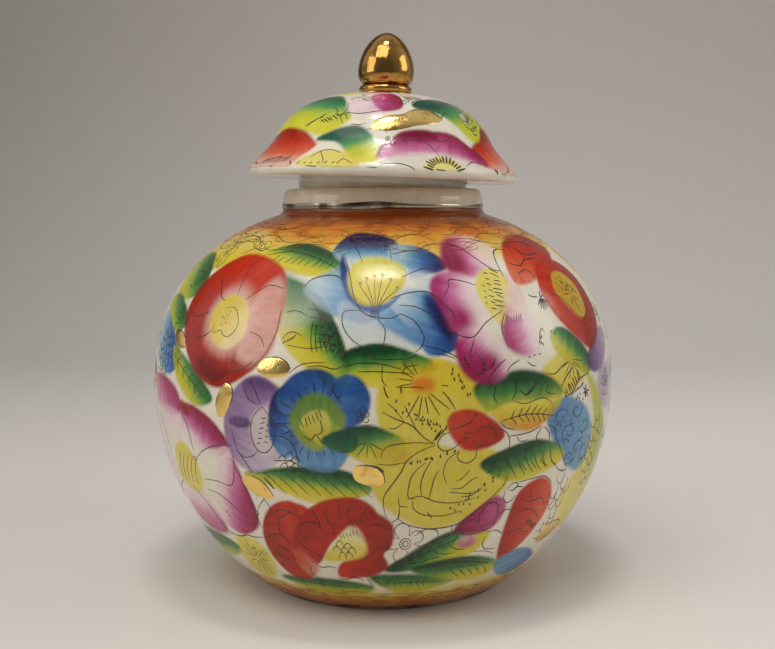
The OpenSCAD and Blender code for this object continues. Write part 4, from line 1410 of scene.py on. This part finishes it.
def lustre_band():
    """The dark metallic line painted round the foot of the neck collar, with a wavy upper edge."""
    low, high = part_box("neck_collar")
    count = 360
    turn = np.linspace(0, math.tau, count + 1)[:-1]
    drift = np.cos(2 * turn + 1) + 0.6 * np.cos(5 * turn) + 0.5 * np.sin(9 * turn + 2)
    top = 1.15 + 0.25 * drift
    bottom = -0.35 + 0.1 * np.roll(drift, 90)
    # Each ring lies this far out from the collar's side, at this height over its foot
    level = np.zeros(count)
    rings = [(level - 0.1, bottom), (level + 0.06, level), (level + 0.05, 0.6 * top),
             (level - 0.04, top)]
    points = []
    for out, height in rings:
        r = high.x + out * MM
        points.append(np.stack([r * np.sin(turn), -r * np.cos(turn), low.z + height * MM], axis=1))
    faces = []
    for ring in range(len(rings) - 1):
        for k in range(count):
            after = (k + 1) % count
            a, b = ring * count, (ring + 1) * count
            faces.append((a + k, a + after, b + after, b + k))
    mesh = bpy.data.meshes.new("lustre_band")
    mesh.from_pydata(np.concatenate(points).tolist(), [], faces)
    mesh.polygons.foreach_set("use_smooth", [True] * len(faces))
    lustre = metal("lustre", srgb(168, 158, 136), srgb(62, 48, 36), 0.46, (0.1, 0.26), 0.12)
    add_piece(mesh, lustre, "jar")


# ---------------------------------------------------------------- studio


def soft_light(name, azimuth, elevation, distance, size, power):
    """A rectangular soft light aimed at the jar: angles in degrees, distance and size in m."""
    light = bpy.data.lights.new(name, "AREA")
    light.shape = "RECTANGLE"
    light.size, light.size_y = size
    light.energy = power
    light.color = (1, 0.97, 0.92)
    thing = bpy.data.objects.new(name, light)
    bpy.context.scene.collection.objects.link(thing)
    a, e = math.radians(azimuth), math.radians(elevation)
    away = Vector((math.sin(a) * math.cos(e), -math.cos(a) * math.cos(e), math.sin(e)))
    thing.location = Vector((0, 0, 0.08)) + away * distance
    thing.rotation_mode = "QUATERNION"
    thing.rotation_quaternion = away.to_track_quat("Z", "Y")


def paper():
    """Matt backdrop paper with painted shade: it darkens towards its top and its left, where less
    light falls.
    """
    nodes = Nodes("paper")
    split = nodes.add("ShaderNodeSeparateXYZ")
    nodes.join(nodes.place, split.inputs["Vector"])
    height = nodes.span(split.outputs["Z"], 0, 0.8, 0, 1)
    # Painted shade: the paper darkens with height, as the light falls off towards the top.
    shade = nodes.ramp(height, [(0.0, srgb(227, 222, 215)), (0.3, srgb(214, 207, 200)),
                                (1.0, srgb(187, 181, 174))])
    # Painted shade: the paper darkens towards the left, where less light falls.
    across = nodes.span(split.outputs["X"], -0.5, 0.05, 0, 1)
    side = nodes.ramp(across, [(0.0, srgb(201, 201, 201)), (1.0, (1, 1, 1, 1))])
    nodes.colour(nodes.tint(shade, side, 1.0))
    nodes.shader.inputs["Roughness"].default_value = 0.85
    return nodes.material


def studio():
    """A pale sweep, floor and backdrop in one curved sheet, under four soft lights."""
    width, front, back, bend, height = 3.0, -1.2, 0.85, 0.4, 1.6
    profile = [(front, 0.0)]
    for a in np.linspace(0, math.pi / 2, 25):
        profile.append((back - bend + bend * math.sin(a), bend - bend * math.cos(a)))
    profile.append((back, height))
    points = [(x, y, z) for y, z in profile for x in (-width / 2, width / 2)]
    faces = [(2 * k, 2 * k + 1, 2 * k + 3, 2 * k + 2) for k in range(len(profile) - 1)]
    mesh = bpy.data.meshes.new("sweep")
    mesh.from_pydata(points, [], faces)
    mesh.polygons.foreach_set("use_smooth", [True] * len(faces))
    mesh.materials.append(paper())
    sweep = bpy.data.objects.new("sweep", mesh)
    bpy.context.scene.collection.objects.link(sweep)
    soft_light("left_box", -68, 24, 0.75, (0.42, 0.46), 1.15)
    soft_light("right_box", 82, 24, 0.8, (0.38, 0.42), 1.05)
    soft_light("top_box", 0, 80, 0.8, (0.17, 0.08), 1.35)
    soft_light("front_fill", -26, 58, 0.95, (0.7, 0.5), 2.95)


def room():
    """Faint light from all round, weakest from behind the camera."""
    world = bpy.data.worlds.new("room")
    world.use_nodes = True
    tree = world.node_tree
    background = tree.nodes["Background"]
    background.inputs["Color"].default_value = (0.95, 0.96, 1.0, 1)
    direction = tree.nodes.new("ShaderNodeTexCoord").outputs["Generated"]
    split = tree.nodes.new("ShaderNodeSeparateXYZ")
    tree.links.new(direction, split.inputs["Vector"])
    strength = tree.nodes.new("ShaderNodeMapRange")
    for key, value in {"From Min": -0.9, "From Max": 0.1, "To Min": 0.13, "To Max": 0.55}.items():
        strength.inputs[key].default_value = value
    tree.links.new(split.outputs["Y"], strength.inputs["Value"])
    tree.links.new(strength.outputs["Result"], background.inputs["Strength"])
    bpy.context.scene.world = world


def camera():
    """Close to the jar, at the height of its neck, looking slightly down."""
    sensor, focal_share = 36, 1.404
    down, roll = math.radians(5.96), math.radians(-0.15)
    lens = bpy.data.cameras.new("camera")
    lens.sensor_width = sensor
    lens.lens = sensor * focal_share
    thing = bpy.data.objects.new("camera", lens)
    bpy.context.scene.collection.objects.link(thing)
    thing.location = (0.0013, -0.325, 0.1084)
    pitch = Matrix.Rotation(math.pi / 2 - down, 3, "X")
    thing.rotation_euler = (pitch @ Matrix.Rotation(roll, 3, "Z")).to_euler()
    bpy.context.scene.camera = thing
    bpy.context.scene.view_settings.view_transform = "Standard"


# ---------------------------------------------------------------- the whole

brown_black = ink("ink", srgb(36, 28, 26), srgb(92, 76, 62))
brown = ink("brown_ink", srgb(92, 50, 26), srgb(150, 98, 50))
gold = metal("gold_leaf", srgb(246, 208, 124), srgb(176, 118, 52), 0.38, (0.1, 0.24), 0.55)
gilding = metal("gilding", srgb(184, 140, 72), srgb(100, 62, 28), 0.4, (0.03, 0.11))
plain_glaze = glaze("plain_glaze", srgb(212, 199, 172), srgb(230, 219, 194))
lid_glaze = glaze("lid_glaze", IVORY, WHITE)

jar = Film(jar_skin())
jar.band(94, 107, 1)
jar.band(11.5, 0.5, 2)
gap_lines = Strokes("jar_ink_gaps", jar.skin, INK_LIFT)
gap_dabs = Strokes("jar_gold_gaps", jar.skin, GOLD_LIFT)
for turn, swap in ((90, {}), (-90, {"red": "pink", "pink": "red"})):
    paint_jar_gap(Side(jar, gap_lines, gap_dabs, turn, 1, swap))
gap_lines.finish(brown_black, ENAMELLED)
gap_dabs.finish(gold, GILDED)
BACK_SWAP = {"red": "pink", "pink": "blue", "blue": "red"}
for suffix, turn, hand, swap in (("front", 0, 1, {}), ("back", 180, -1, BACK_SWAP)):
    ink_lines = Strokes("jar_ink_" + suffix, jar.skin, INK_LIFT)
    dabs = Strokes("jar_gold_" + suffix, jar.skin, GOLD_LIFT)
    paint_jar_side(Side(jar, ink_lines, dabs, turn, hand, swap))
    ink_lines.finish(brown_black, ENAMELLED)
    dabs.finish(gold, GILDED)
jar.finish("jar_film", (-180, -90, 0, 90, 180), ENAMELLED)

scrolls = Strokes("cloud_scrolls", jar.skin, INK_LIFT)
round_about = Side(jar, scrolls, None)
scroll_band(round_about, 98, 105.5, 3.8, 0.3, 4, 26)
scroll_band(round_about, 3.6, 8, 2.6, 0.4, 3, 30)
scrolls.finish(brown, ENAMELLED)

lid = Film(lid_skin())
lid_ink = Strokes("lid_ink", lid.skin, INK_LIFT)
lid_dabs = Strokes("lid_gold", lid.skin, GOLD_LIFT)
for turn in (90, -90):
    paint_lid_gap(Side(lid, lid_ink, lid_dabs, turn))
for turn, swap in ((0, {}), (180, {"red": "blue", "pink": "red"})):
    paint_lid_side(Side(lid, lid_ink, lid_dabs, turn, 1, swap))
lid_ink.finish(brown_black, ENAMELLED)
lid_dabs.finish(gold, GILDED)
lid.finish("lid_film", (-180, -90, 90, 180), ENAMELLED)

dress("jar_body", plain_glaze)
dress("foot_ring", bare_clay())
dress("neck_collar", plain_glaze)
dress("lid_dome", lid_glaze)
dress("lid_seat_ring", plain_glaze)
dress("lid_flange", plain_glaze)
dress("finial_collar", gilding)
dress("finial_knob", gilding)
lustre_band()

studio()
room()
camera()
